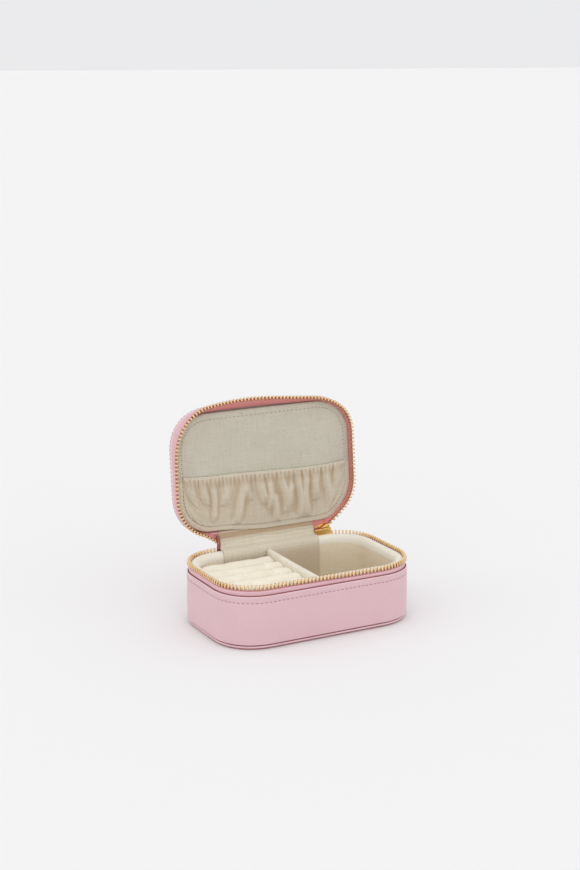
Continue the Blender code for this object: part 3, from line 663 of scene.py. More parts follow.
divider_suede = suede("divider_suede", paint(230, 224, 208), paint(242, 237, 224), 0.25)
DIVIDER_X, DIVIDER_TOP, DIVIDER_FRONT, DIVIDER_BACK = -2.8, 33.4, -30.8, 29.7
DIVIDER_HALF, DIVIDER_ROUND, DIVIDER_DIP, DIVIDER_POINTS = 1.68, 1.7, 0.25, 60
run = np.linspace(DIVIDER_FRONT, DIVIDER_BACK, DIVIDER_POINTS)
half = np.full(DIVIDER_POINTS, DIVIDER_HALF)
half[:4] = half[-4:][::-1] = (1.2, 1.5, 1.62, 1.66)
angle = np.linspace(0, np.pi, 13)
arch_middle = DIVIDER_TOP - DIVIDER_ROUND
arch = [(1.0, z) for z in (6.7, 12.0, 18.0, 24.0)]
arch += [(math.cos(a), arch_middle + DIVIDER_ROUND * math.sin(a)) for a in angle]
arch = np.array(arch + [(-1.0, z) for z in (24.0, 18.0, 12.0, 6.7)])
dip = DIVIDER_DIP * np.sin(np.pi * (run - DIVIDER_FRONT) / (DIVIDER_BACK - DIVIDER_FRONT))
divider_points = np.stack(
    [
        DIVIDER_X + arch[:, :1] * half[None],
        np.broadcast_to(run[None], (len(arch), DIVIDER_POINTS)),
        arch[:, 1:] - dip[None] * (arch[:, 1:] > 29.0),
    ],
    axis=-1,
)
divider = surface(
    "tray_divider_suede", divider_points * MM, divider_suede, loop_rows=True, loop_columns=False
)
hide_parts("tray_divider")
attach(divider, "base")

# Ring rolls: five soft foam rolls side by side on a foam bed, each wrapped in cream velvet, close
# enough together to grip a ring pushed in between two of them.
velvet = suede("roll_velvet", paint(236, 228, 208), paint(246, 240, 224), 0.35)
bed_velvet = suede("bed_velvet", paint(206, 194, 168), paint(220, 208, 184), 0.3)
frame["nodes"]["ring_bed"].data.materials.clear()
frame["nodes"]["ring_bed"].data.materials.append(bed_velvet)
ROLL_PITCH, ROLL_MIDDLE, ROLL_TOP, ROLL_FOOT, ROLL_RIGHT = 11.09, -0.525, 31.3, 15.0, -4.7
ROLL_HALF, ROLL_SHOULDER, ROLL_POINTS = 5.38, 0.62, 70
CORNER_X, CORNER_Y = (CASE_WIDTH / 2 - CORNER_RADIUS) / MM, (CASE_DEPTH / 2 - CORNER_RADIUS) / MM
CAVITY_RADIUS = CORNER_RADIUS / MM - 7.3
chance = np.random.default_rng(7)
for number in range(5):
    middle = ROLL_MIDDLE + (number - 2) * ROLL_PITCH
    angle = np.linspace(np.pi, 0, 17)
    side = np.concatenate([[-0.98, -1.0], np.cos(angle), [1.0, 0.98]]) * ROLL_HALF
    lift = ROLL_SHOULDER + (1 - ROLL_SHOULDER) * np.sin(angle)
    lift = np.concatenate([[0.0, ROLL_SHOULDER], lift, [ROLL_SHOULDER, 0.0]])[:, None]
    into = np.maximum(np.abs(middle + side) - CORNER_Y, 0) / CAVITY_RADIUS
    corner_reach = np.maximum(1 - into**CORNER_POWER, 0) ** (1 / CORNER_POWER)
    left = 0.1 - (CORNER_X + CAVITY_RADIUS * corner_reach)[:, None]
    share = np.linspace(0, 1, ROLL_POINTS)
    ends = np.minimum(share, 1 - share) * ROLL_POINTS
    tuck = (0.22 * np.exp(-((ends / 2.2) ** 2)))[None]
    wave = sum(
        chance.uniform(0.05, 0.16) * np.sin(2 * np.pi * (share * k + chance.random()))
        for k in (1.5, 2.6, 4.1)
    )
    x = left + (ROLL_RIGHT - left) * share[None]
    z = ROLL_FOOT + (ROLL_TOP - ROLL_FOOT) * lift * (1 - tuck * 0.35) + wave[None] * lift
    depth = middle + side[:, None] * (1 - tuck * 0.2) + 0.3 * wave[None] * lift
    roll = surface(
        f"ring_roll_velvet_{number + 1}", np.stack([x, depth, z], -1) * MM, velvet, loop_rows=True,
        loop_columns=False,
    )
    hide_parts(f"ring_roll_{number + 1}")
    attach(roll, "base")

# The soft hinge: a strip of linen inside and a strip of pink leather outside, both sewn to the base
# and to the lid. They bend together where the lid folds over.
linen_soft = woven(
    "linen_soft", paint(214, 204, 182), paint(229, 221, 202), 0.42 * MM, 0.35, speck=0.3, shade_color=TAN_SHADE
)
STRIP_LEFT, STRIP_RIGHT = -31.2, 31.3
HINGE_Y, HINGE_Z = frame["joints"][0]["pos_m"][1:]
OPEN_ANGLE = math.radians(95.0)


def strip(
    name, path, low_x, high_x, thickness, finish, wrinkle, columns=90, seed=3, ripple=0.0, crease=0.0
):
    """A cloth strip: a (y, z) path carried along x, with a thickness, and soft wrinkles where it is free.

    Point = path + its normal x (half thickness, thicker at the hems, plus a sum of sine waves over x)."""
    path = eased(path, 6)
    ahead = np.gradient(path, axis=0)
    ahead /= np.linalg.norm(ahead, axis=1)[:, None]
    normal = np.stack([ahead[:, 1], -ahead[:, 0]], axis=1)
    x = np.linspace(low_x, high_x, columns)
    draw = np.random.default_rng(seed)
    share = np.linspace(0, 1, columns)
    wave = sum(
        draw.uniform(0.3, 1.0) / k * np.sin(2 * np.pi * (share * k + draw.random()))
        for k in (1.3, 2.7, 4.6, 7.9)
    )
    free = wrinkle * np.exp(-(((path[:, 1] - 38.5) / 4.0) ** 2))
    run = np.concatenate([[0.0], np.cumsum(np.linalg.norm(np.diff(path, axis=0), axis=1))])[:, None]
    fold = (
        ripple
        * np.sin(2 * np.pi * (run / 2.1 + 0.35 * wave[None]))
        * np.exp(-(((path[:, 1:] - 39.8) / 1.7) ** 2))
    )
    hem = 0.22 * (np.exp(-(((x - low_x) / 1.2) ** 2)) + np.exp(-(((x - high_x) / 1.2) ** 2)))
    layers = []
    for side in (1, -1):
        off = side * (thickness / 2 + hem[None]) + free[:, None] * wave[None] + fold
        yz = path[:, None] + normal[:, None] * off[..., None]
        layers.append(
            np.concatenate([np.broadcast_to(x[None, :, None], (*yz.shape[:2], 1)), yz], axis=2)
        )
    # Painted shade: darker low down in the cavity and high up under the lid's lining panel, by this share.
    depth = crease * (
        0.45 * np.clip((31.5 - path[:, 1]) / 3.0, 0, 1) + np.clip((path[:, 1] - 39.6) / 1.6, 0, 1)
    )
    depth = np.concatenate([depth, depth[::-1]])[:, None]
    both = np.concatenate([layers[0], layers[1][::-1]]) * MM
    return surface(name, both, finish, loop_rows=True, loop_columns=False, crease=depth)


lining_path = [
    (30.75, 8.6), (30.75, 20.0), (30.75, 30.4), (30.9, 32.4), (31.5, 34.0), (32.7, 35.1), (34.4, 35.5),
    (35.9, 35.8), (36.9, 36.8),
    (37.5, 38.2), (38.1, 39.8), (38.9, 41.2), (39.6, 42.8), (39.9, 44.9),
]
# The linen strip carries painted shade in the cavity and under the lining panel.
hinge_linen = strip(
    "hinge_linen", lining_path, STRIP_LEFT, STRIP_RIGHT, 0.4, linen_soft, 0.28, ripple=0.3, crease=0.7
)
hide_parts("hinge_lining")
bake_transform(hinge_linen)
leather_path = [
    (37.1, 24.5), (37.2, 29.5), (37.7, 31.4), (38.35, 33.0), (38.5, 35.5), (38.8, 38.0), (39.6, 40.4),
    (40.8, 42.4), (42.0, 44.0),
]
hinge_leather = strip("hinge_leather_strip", leather_path, -30.2, 30.2, 0.6, pink_leather, 0.12, seed=5)
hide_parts("hinge_leather")
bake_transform(hinge_leather)

# The lid's cover: pink leather drawn over a foam pad and a board, rounded at its edge and slightly
# crowned on top, with a stitched row near the edge where the zip's tape is sewn in.


def opened(points):
    """Points given for the closed lid, turned open about the hinge line."""
    y, z = points[..., 1] - HINGE_Y, points[..., 2] - HINGE_Z
    c, s = math.cos(OPEN_ANGLE), math.sin(OPEN_ANGLE)
    return np.stack([points[..., 0], HINGE_Y + c * y + s * z, HINGE_Z - s * y + c * z], axis=-1)


def bowed(points, amount, corner=0.0):
    """The lid's front edge bows out a little left of its middle and draws back at its right corner.

    y moves by amount x a smooth hump over x, and back by corner x a hump round the corner."""
    x = points[..., 0] / MM
    hump = np.cos(np.clip((x + 9) / 50, -1, 1) * np.pi / 2) ** 2
    front = np.clip((-points[..., 1] - 10 * MM) / (22 * MM), 0, 1)
    moved = points.copy()
    moved[..., 1] -= (
        (amount * hump - corner * np.exp(-(((x - 47) / 12) ** 2)))
        * MM
        * front
        * front
        * (3 - 2 * front)
    )
    return moved


def drawn_in(points, more=0.0):
    """The soft lid is drawn in on its left: x grows by a smooth step, and by more at its top left corner."""
    x, y = points[..., 0] / MM, points[..., 1] / MM
    left = np.clip((-x - 14) / 40, 0, 1)
    corner = np.exp(-(((y + 26) / 16) ** 2))
    moved = points.copy()
    moved[..., 0] += left**2 * (3 - 2 * left) * (1.5 + more * (0.3 + 0.7 * corner)) * MM
    moved[..., 1] += left**2 * (3 - 2 * left) * more * 0.6 * corner * MM
    return moved


def to_middle(ring, heights, shares):
    """Rings between a ring and the middle of the case: each is drawn in by its share, at its height."""
    shares, heights = np.array(shares)[:, None], np.array(heights)[:, None]
    flat = ring[None, :, :2] * (1 - shares[..., None])
    return np.concatenate(
        [flat, np.broadcast_to((heights * MM)[..., None], (*flat.shape[:2], 1))], axis=2
    )


LID_BOW, ZIP_BOW, ZIP_CORNER, ZIP_DRAW = 0.9, 3.1, 1.5, 2.0
cover_edge = eased(
    [
        (2.3, 43.2), (1.95, 42.2), (1.6, 41.8), (1.3, 41.82), (1.17, 42.2), (1.15, 43.0), (1.28, 44.0),
        (1.62, 44.95), (2.2, 45.8),
        (3.05, 46.55), (4.2, 47.1), (5.6, 47.42), (7.5, 47.58),
    ]
)
cover_ring = carried(cover_edge, AT_ROUND)
cover_top = to_middle(
    cover_ring[-1], [47.68, 47.75, 47.8, 47.83, 47.85, 47.86], [0.12, 0.28, 0.46, 0.64, 0.82, 0.985]
)
cover_inner_low = to_middle(cover_ring[0], [43.3, 43.3], [0.5, 0.985])[::-1]
cover_points = drawn_in(bowed(np.concatenate([cover_inner_low, cover_ring, cover_top]), LID_BOW))
# A painted highlight, partly rubbing, along the cover's lower rounded edge.
cover_wear = np.zeros((len(cover_points), 1))
cover_wear[2 : 2 + len(cover_edge), 0] = (
    0.9
    * np.exp(-(((cover_edge[:, 1] - 42.0) / 0.5) ** 2))
    * (cover_edge[:, 0] < 1.8)
)
lid_cover = surface("lid_cover_leather", opened(cover_points), pink_leather, wear=cover_wear)
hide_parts("lid_cover")
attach(lid_cover, "lid")
COVER_STITCH_INSET, COVER_STITCH_HEIGHT = 1.50 * MM, 44.6 * MM
cover_flat, cover_out = along_case((np.arange(stitch_count) + 0.5) / stitch_count * AROUND)
out3 = np.concatenate([cover_out * 0.93, np.full((stitch_count, 1), 0.37)], axis=1)
side3 = np.concatenate(
    [np.stack([-cover_out[:, 1], cover_out[:, 0]], 1), np.zeros((stitch_count, 1))], axis=1
)
points, faces = repeated(
    bead(5, 6),
    drawn_in(
        bowed(flat_to_space(cover_flat - cover_out * COVER_STITCH_INSET, COVER_STITCH_HEIGHT), LID_BOW)
    ),
    [out3 * STITCH_OUT, np.cross(out3, side3) * STITCH_UP, side3 * STITCH_LONG],
)
lid_stitches = put_mesh("lid_cover_stitches", opened(points), faces, rose_thread)
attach(lid_stitches, "lid")

# The lid's half of the zip: tape and teeth as on the base. The tape leans in from the teeth to the
# cover's edge, where it is sewn. Both its ends droop towards the base at the hinge, and a short dark
# tape joins the two halves at the left one.
# The lid tape's inside face is a darker coral copy of the pink tape: painted shade on that face.
coral_painted_shade_tape = woven("coral_painted_shade_tape", paint(220, 138, 136), paint(230, 156, 152), 0.35 * MM, 0.3, sheen=0.1)
LID_TOOTH_MIDDLE = 37.0 * MM


def drooped(points, share=1.0):
    """Both ends of the lid's zip sink towards the base: down by a power of how far in they run.

    The left end starts to sink at x -42 mm and the right end at x 50 mm. share is 1 at the teeth and
    falls to 0 where the tape is sewn under the lining."""
    left_sink, right_sink = 3.7 * MM, 3.1 * MM
    x, low = points[..., 0], points[..., 2] < 55 * MM
    left = left_sink * np.clip((x + 42 * MM) / (8 * MM), 0, 1.5) ** 1.6 * (x < 0)
    right = right_sink * np.clip((50 * MM - x) / (7 * MM), 0, 1.6) ** 1.3 * (x > 0)
    sink = (left + right) * low * share
    moved = points.copy()
    moved[..., 2] -= sink
    moved[..., 1] += 0.35 * sink
    return moved


lid_tape_outside = eased(
    [(1.0, 38.1), (0.95, 38.9), (0.98, 39.9), (1.06, 40.9), (1.25, 41.9), (1.8, 43.0)]
)
lid_tape_inside = eased(
    [(2.8, 43.0), (2.35, 41.9), (1.95, 40.9), (1.6, 39.9), (1.5, 39.1), (1.45, 38.5), (1.25, 37.95)]
)
leaning_inside = eased(
    [(4.3, 43.0), (4.0, 41.9), (3.2, 40.9), (2.25, 39.9), (1.6, 39.1), (1.45, 38.5), (1.25, 37.95)]
)
LID_CHAIN_RIGHT = 40.2 * MM
lid_tape_at = np.linspace(length_at(TAPE_RIGHT), length_at(CHAIN_LEFT), TAPE_POINTS)
lid_tape_profile = np.concatenate([lid_tape_outside, lid_tape_inside])
tape_share = np.clip((42.2 - lid_tape_profile[:, 1]) / 3.0, 0, 1)[:, None]
leaning = np.concatenate([lid_tape_outside, leaning_inside])
lean_share = np.clip(-along_case(lid_tape_at)[1][:, 1] * 1.2, 0, 1)[None, :, None]
tape_points = (
    (1 - lean_share) * carried(lid_tape_profile, lid_tape_at)
    + lean_share * carried(leaning, lid_tape_at)
)
tape_bow = LID_BOW + (ZIP_BOW - LID_BOW) * tape_share
tape_points = drawn_in(bowed(tape_points, tape_bow, ZIP_CORNER * tape_share), ZIP_DRAW * tape_share)
inner_face = np.arange(len(leaning)) >= len(lid_tape_outside)
# Painted shade on the inside face towards the cover's edge and along the tape's edge between the teeth.
tape_crease = (
    np.clip((lid_tape_profile[:, 1] - 40.6) / 2.0, 0, 0.4) * inner_face
    + np.clip((39.0 - lid_tape_profile[:, 1]) / 0.5, 0, 0.8)
)
lid_tape = surface(
    "lid_tape", drooped(
        opened(tape_points), tape_share
    ), coral_painted_shade_tape, loop_rows=True, loop_columns=False, crease=tape_crease[:, None]
)
# The outside faces take the pink tape; the inside face and the ends keep the coral painted shade.
lid_tape.data.materials.append(pink_tape)
outer_faces = (len(lid_tape_outside) - 1) * (TAPE_POINTS - 1)
face_finish = np.arange(len(lid_tape.data.polygons)) < outer_faces
lid_tape.data.polygons.foreach_set("material_index", face_finish.astype(np.int32))
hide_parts("lid_zip_tape")
lid_tooth_at = np.arange(length_at(LID_CHAIN_RIGHT), chain_end, TOOTH_PITCH)
flat, outward = along_case(lid_tooth_at)
out3 = np.concatenate([outward, np.zeros((len(flat), 1))], axis=1)
down3 = np.tile((0.0, 0.0, -1.0), (len(flat), 1))
centres = flat_to_space(flat - outward * CHAIN_INSET * MM, LID_TOOTH_MIDDLE)
points, faces = repeated(tooth(), centres, [out3, np.cross(down3, out3), down3])
lid_teeth = put_mesh(
    "lid_teeth",
    drooped(opened(drawn_in(bowed(points, ZIP_BOW, ZIP_CORNER), ZIP_DRAW))),
    faces,
    gold_teeth,
)
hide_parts("lid_zip_teeth")
end_path = [
    (37.0, 30.5), (37.0, 33.0), (36.6, 35.0), (36.2, 37.0), (36.0, 39.0), (36.6, 41.0), (37.6, 43.0)
]
zip_end_cloth = woven("zip_end_cloth", paint(150, 92, 92), paint(170, 108, 106), 0.35 * MM)
zip_end = strip("zip_end_tape", end_path, -32.9, -31.0, 0.5, zip_end_cloth, 0.0, columns=14)
for half_zip in (lid_tape, lid_teeth, zip_end):
    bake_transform(half_zip)

# The lid's lining: a board wrapped in natural linen over thin padding, turned over at the edge,
# stitched all round and set into the lid.
linen_panel = woven(
    "linen_panel", paint(198, 191, 174), paint(213, 208, 192), 0.42 * MM, 0.4, speck=0.5
)
PANEL_FACE = 40.65
panel_edge = eased(
    [
        (3.9, 42.8), (3.3, 42.6), (3.1, 42.1), (3.15, 41.6), (3.45, 41.1), (4.1, 40.78), (5.1, 40.66),
        (6.2, 40.64), (6.75, 40.74), (7.3, 40.64), (8.4, 40.6), (10.0, 40.58),
    ]
)
panel_ring = carried(panel_edge, AT_ROUND)
shares = np.linspace(0.06, 0.985, 22)
panel_face = to_middle(panel_ring[-1], 40.57 + 0 * shares, shares)
swell_x, swell_y = (
    np.array(wave)[:, None, None] * MM for wave in ([31, 47, 23, 68], [26, -39, 51, 19])
)
swell = chance.uniform(0.03, 0.07, 4)[:, None, None] * np.sin(
    2 * np.pi * (panel_face[None, ..., 0] / swell_x + panel_face[None, ..., 1] / swell_y)
)
panel_face[..., 2] += swell.sum(0) * MM * np.linspace(0.1, 1, len(shares))[:, None]
panel_back = to_middle(panel_ring[0], [42.85, 42.85], [0.5, 0.985])[::-1]
panel_points = np.concatenate([panel_back, panel_ring, panel_face])


def hung(points):
    """The lining sits a little low and to the right, and hangs lowest on the right of its foot.

    Down by a smooth hump over x that fades out with height, and by a smaller step at the top. The
    back of the pad stays up inside the cover."""
    x, z = points[..., 0] / MM, points[..., 2] / MM
    over = np.clip((x + 34) / 36, 0, 1) * np.clip((57 - x) / 16, 0, 1)
    fade = np.clip((62 - z) / 16, 0, 1)
    depth = (points[..., 1] / MM - 39.1) - 0.087 * (z - 41.6)
    near_face = np.clip((1.0 - depth) / 1.6, 0, 1)
    moved = points.copy()
    moved[..., 2] -= 3.1 * MM * over**2 * (3 - 2 * over) * fade**2 * (3 - 2 * fade) * near_face
    moved[..., 2] -= 1.2 * MM * np.clip((z - 80) / 30, 0, 1)
    moved[..., 0] += 1.2 * MM * np.clip((x + 20) / 70, 0, 1)
    return moved


lid_panel = surface("lid_panel_linen", hung(opened(drawn_in(panel_points))), linen_panel)
panel_uv = np.array([v.co[:] for v in lid_panel.data.vertices])[
    np.array([loop.vertex_index for loop in lid_panel.data.loops])
]
lid_panel.data.uv_layers[0].data.foreach_set("uv", panel_uv[:, [0, 2]].ravel().astype(np.float32))
linen_thin = woven(
    "linen_thin", paint(208, 198, 178), paint(225, 218, 201), 0.38 * MM, 0.3, speck=0.25, shade_color=TAN_SHADE
)
lid_panel.data.materials.append(linen_thin)
sewn_low = np.array(
    [face.center[2] < 76.2 * MM and abs(face.center[0]) < 61 * MM for face in lid_panel.data.polygons]
)
border = np.arange(len(lid_panel.data.polygons)) // ROUND_COUNT < len(panel_back) + len(panel_edge) - 4
lid_panel.data.polygons.foreach_set("material_index", (sewn_low & border).astype(np.int32))
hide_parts("lid_lining_panel")
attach(lid_panel, "lid")

# The lining's own stitches: a row of small dark holes in a shallow groove, 6.75 mm inside the edge.
SEAM_INSET, SEAM_PITCH = 6.75, 2.35
hole_count = round((AROUND - 2 * np.pi * SEAM_INSET * MM) / (SEAM_PITCH * MM))
hole_flat, hole_out = along_case((np.arange(hole_count) + 0.5) / hole_count * AROUND)
side3 = np.concatenate(
    [np.stack([-hole_out[:, 1], hole_out[:, 0]], 1), np.zeros((hole_count, 1))], axis=1
)
out3 = np.concatenate([hole_out, np.zeros((hole_count, 1))], axis=1)
down3 = np.tile((0.0, 0.0, -1.0), (hole_count, 1))
points, faces = repeated(
    bead(5, 6),
    drawn_in(flat_to_space(hole_flat - hole_out * SEAM_INSET * MM, 40.72 * MM)),
    [out3 * 0.22 * MM, down3 * 0.32 * MM, side3 * 0.38 * MM],
)
panel_stitches = put_mesh(
    "lid_panel_stitches", hung(opened(points)), faces, thread("linen_thread", paint(128, 116, 98))
)
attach(panel_stitches, "lid")

# The card and foam inside the lid and the sleeve: plain grey card and cream foam, glued in place and
# covered on every side.
card = suede("card", paint(150, 142, 128), paint(165, 158, 144), 0.0)
foam = suede("foam_pad", paint(225, 220, 205), paint(235, 230, 218), 0.1)
for hidden_node, look in (("lid_board", card), ("base_wall_board", card), ("lid_foam", foam)):
    node = frame["nodes"][hidden_node]
    node.data.materials.clear()
    node.data.materials.append(look)

# The pocket: a wider piece of thin linen gathered by an elastic in its top hem and sewn down along
# its sides and foot. The spare cloth buckles into upright folds. It is worked out as a sheet of
# threads that keep their length, pinned at its edges and pushed off the panel, as cloth behaves.
POCKET_COLUMNS, POCKET_ROWS, HEM_ROWS, POCKET_HALF = 361, 64, 5, 53.2
PANEL_BACK = 36.9  # y on the closed lid, in mm, from which heights up the panel are measured
POCKET_SEAT = PANEL_FACE - 0.1
pocket_draw = np.random.default_rng(21)
share = np.linspace(-1, 1, POCKET_COLUMNS)
pocket_x = share * POCKET_HALF
HEM_AT = [-POCKET_HALF, -42, -15, 14, 24, 40, POCKET_HALF]
hem_line = np.interp(pocket_x, HEM_AT, [35.6, 34.7, 34.2, 33.0, 32.6, 32.7, 33.5])


def panel_foot(x):
    """How high up the panel its foot seam runs at this x: level, then rising round the corners."""
    radius = CORNER_RADIUS / MM - SEAM_INSET
    into = np.clip((np.abs(x) - CORNER_X) / radius, 0, 1)
    return PANEL_BACK - (CORNER_Y + radius * (1 - into**CORNER_POWER) ** (1 / CORNER_POWER))


foot_line = np.minimum(panel_foot(pocket_x), hem_line - 6.0)
down = np.linspace(0, 1, POCKET_ROWS)[:, None]
rest_u = hem_line[None] + (foot_line - hem_line)[None] * down
fullness = 1.15 + 0.20 * np.exp(-6 * down)
step_x = np.abs(pocket_x[1] - pocket_x[0])
along_rest = step_x * fullness * np.ones((1, POCKET_COLUMNS - 1))
down_rest = (
    np.linalg.norm(
        np.stack([np.zeros((POCKET_ROWS - 1, POCKET_COLUMNS)), np.diff(rest_u, axis=0)]), axis=0
    )
    * 1.05
)
cloth = np.stack(
    [np.broadcast_to(pocket_x, rest_u.shape), rest_u, np.zeros_like(rest_u)], axis=-1
).copy()
gather_phase = np.cumsum(pocket_draw.uniform(0.6, 1.4, POCKET_COLUMNS)) / POCKET_COLUMNS * 40
gathers = 0.34 * np.sin(2 * np.pi * gather_phase) + 0.14 * np.sin(2 * np.pi * gather_phase * 0.37 + 1.0)
edge_fade = np.clip((1 - np.abs(share)) / 0.04, 0, 1)
# The big folds: x at the hem, x at the foot, height, width, and how far down each begins and ends.
FOLDS = [
    (-47.0, -49.0, 1.5, 1.5, 0.05, 0.60), (-40.5, -38.0, 1.3, 2.2, 0.10, 0.55), (
        -33.5, -34.0, 1.5, 1.6, 0.10, 0.90
    ),
    (-24.5, -26.5, 1.3, 2.6, 0.12, 0.60), (-10.5, -20.5, 3.0, 1.8, 0.12, 1.00), (
        -14.5, -8.0, 1.9, 2.0, 0.10, 0.55
    ),
    (-3.0, 0.5, 1.6, 2.4, 0.12, 0.65), (4.0, 1.5, 2.0, 1.7, 0.15, 0.75), (
        3.0, 7.0, 2.4, 1.5, 0.45, 1.00
    ),
    (10.0, 15.5, 2.6, 1.7, 0.08, 0.72), (17.5, 13.0, 1.4, 2.4, 0.25, 0.85), (
        22.0, 22.2, 2.6, 1.4, 0.08, 1.00
    ),
    (26.3, 26.0, 2.9, 1.5, 0.10, 1.00), (33.5, 32.0, 1.6, 2.2, 0.10, 0.70), (
        39.0, 44.0, 1.8, 1.9, 0.08, 0.85
    ),
    (47.0, 49.5, 1.4, 1.7, 0.05, 0.60),
]
folds = np.zeros_like(rest_u)
for hem_x, foot_x, height, width, begin, end in FOLDS:
    line = hem_x + (foot_x - hem_x) * down + 0.5 * np.sin(7 * down + hem_x)
    reach = (
        np.clip((down - begin) / 0.12, 0, 1)
        * np.clip((end - down) / 0.15 + 0.35 * (end >= 1), 0, 1)
    )
    folds += 1.25 * height * reach * np.exp(-(((pocket_x[None] - line) / width) ** 2))
cloth[..., 2] = 0.35 + folds * edge_fade + (0.4 + gathers) * np.exp(-((down / 0.16) ** 2)) * edge_fade
pinned = np.zeros(rest_u.shape, bool)
pinned[:HEM_ROWS] = pinned[-1] = True
pinned[:, 0] = pinned[:, -1] = True
cloth[:HEM_ROWS, :, 2] = 0.75 + edge_fade * gathers
cloth[-1, :, 2] = -0.3
cloth[:, [0, -1], 2] = -0.3
free = (~pinned)[..., None].astype(float)


def pull(a, b, rest, stiff, free_a, free_b):
    """Moves two sets of points along the line between them until it has its rest length."""
    gap = b - a
    length = np.linalg.norm(gap, axis=-1, keepdims=True) + 1e-9
    share = free_a + free_b
    push = stiff * (length - rest[..., None]) / length * gap / np.maximum(share, 1)
    a += push * free_a
    b -= push * free_b


shear_rest = np.sqrt(along_rest[:-1] ** 2 + (0.5 * (down_rest[:, 1:] + down_rest[:, :-1])) ** 2)
THREAD_STIFF, SHEAR_STIFF, SMOOTHING, SAG_STEP = 0.9, 0.25, 0.05, 0.004
LEAST_LIFT, MOST_LIFT = 0.10, 4.0
for _ in range(260):
    cloth[..., 1] -= SAG_STEP * free[..., 0]
    for k in (0, 1):
        here, there = slice(k, -1, 2), slice(k + 1, None, 2)
        pull(
            cloth[:, here], cloth[:, there], along_rest[:, k::2], THREAD_STIFF, free[:, here],
            free[:, there],
        )
        pull(cloth[here], cloth[there], down_rest[k::2], THREAD_STIFF, free[here], free[there])
        for a, b in ((slice(None, -1), slice(1, None)), (slice(1, None), slice(None, -1))):
            pull(
                cloth[here, a], cloth[there, b], shear_rest[k::2], SHEAR_STIFF, free[here, a],
                free[there, b],
            )
    smooth = cloth.copy()
    smooth[1:-1, 1:-1] = (cloth[:-2, 1:-1] + cloth[2:, 1:-1] + cloth[1:-1, :-2] + cloth[1:-1, 2:]) / 4
    cloth += (smooth - cloth) * SMOOTHING * free
    cloth[..., 2] = np.where(pinned, cloth[..., 2], np.clip(cloth[..., 2], LEAST_LIFT, MOST_LIFT))
pocket_closed = (
    np.stack([cloth[..., 0], PANEL_BACK - cloth[..., 1], POCKET_SEAT - cloth[..., 2]], axis=-1)
    * MM
)
# Painted shade: a fold's hollows, where the cloth lies below the mean height of the 5 x 5 points round it,
# are painted darker, with a darker band below the hem and a faint tan elsewhere; the hem itself has none.
around = np.pad(cloth[..., 2], 9, mode="edge")
shifts = [(i, j) for i in range(-8, 9, 4) for j in range(-8, 9, 4)]
spread = sum(np.roll(around, shift, (0, 1)) for shift in shifts)[9:-9, 9:-9] / len(shifts)
hollow = np.clip((spread - cloth[..., 2]) / 0.9, 0, 1)
pocket_crease = 0.75 * hollow + 0.12 + 0.25 * np.exp(-(((down - 0.16) / 0.07) ** 2))
pocket_crease = np.where(down < 0.06, 0.0, pocket_crease)
pocket = surface(
    "lid_pocket_linen", hung(
        opened(drawn_in(pocket_closed))
    ), linen_thin, loop_columns=False, caps=False, crease=pocket_crease
)
thick = pocket.modifiers.new("thickness", "SOLIDIFY")
thick.thickness, thick.offset = 0.22 * MM, 0.0
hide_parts("lid_pocket")
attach(pocket, "lid")

# The hem's elastic: a woven band drawn tight inside the pocket's top hem.
band_x = np.linspace(-42.0, 42.0, 85)
band_top = np.interp(band_x, pocket_x, hem_line)
band_section = [(0.6, 0.0), (1.8, 0.0), (3.0, 0.0), (3.0, 0.16), (1.8, 0.16), (0.6, 0.16)]
below, off = np.array(band_section).T[..., None]
band = np.stack(
    np.broadcast_arrays(band_x[None], PANEL_BACK - (band_top[None] - below), POCKET_SEAT - off), axis=-1
)
elastic = surface(
    "pocket_elastic_band",
    hung(opened(drawn_in(band * MM))),
    suede("elastic", paint(222, 216, 200), paint(232, 226, 212), 0.0),
    loop_rows=True,
    loop_columns=False,
)
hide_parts("pocket_elastic")
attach(elastic, "lid")

# The slider: two cast, gold-plated plates on either side of the teeth, joined by a neck, with small
# flanges that guide the teeth. It is parked at the right end of the hinge, where the zip is open.
gold = metal("gold", paint(250, 214, 140), paint(226, 180, 110))


def plate(name, loop, low_y, high_y, bevel, finish):
    """A flat plate with rounded edges: an (x, z) loop drawn in by the bevel at both faces.

    Rings: inset by bevel at the low face, full size between, inset again at the high face."""
    middle = loop.mean(0)
    ahead = np.roll(loop, -1, 0) - np.roll(loop, 1, 0)
    ahead /= np.linalg.norm(ahead, axis=1)[:, None]
    out = np.stack([ahead[:, 1], -ahead[:, 0]], 1)
    out *= np.sign((out * (loop - middle)).sum())
    arc = np.linspace(0, np.pi / 2, 4)
    inset = np.concatenate([bevel * (1 - np.sin(arc)), bevel * (1 - np.cos(arc))])
    depth = np.concatenate([low_y + bevel * (1 - np.cos(arc)), high_y - bevel * (1 - np.sin(arc))])
    rings = loop[None] - out[None] * inset[:, None, None]
    grid = np.stack(
        [rings[..., 0], np.broadcast_to(depth[:, None], rings.shape[:2]), rings[..., 1]], axis=-1
    )
    return surface(name, grid * MM, finish)


def rounded_loop(corners, radius, steps=7):
    """A closed outline through these corners with each corner rounded by a quadratic curve."""
    corners = np.array(corners, float)
    before, after = np.roll(corners, 1, 0) - corners, np.roll(corners, -1, 0) - corners
    start = corners + before / np.linalg.norm(before, axis=1)[:, None] * radius
    end = corners + after / np.linalg.norm(after, axis=1)[:, None] * radius
    t = np.linspace(0, 1, steps)[None, :, None]
    curve = start[:, None] * (1 - t) ** 2 + 2 * corners[:, None] * t * (1 - t) + end[:, None] * t**2
    return curve.reshape(-1, 2)


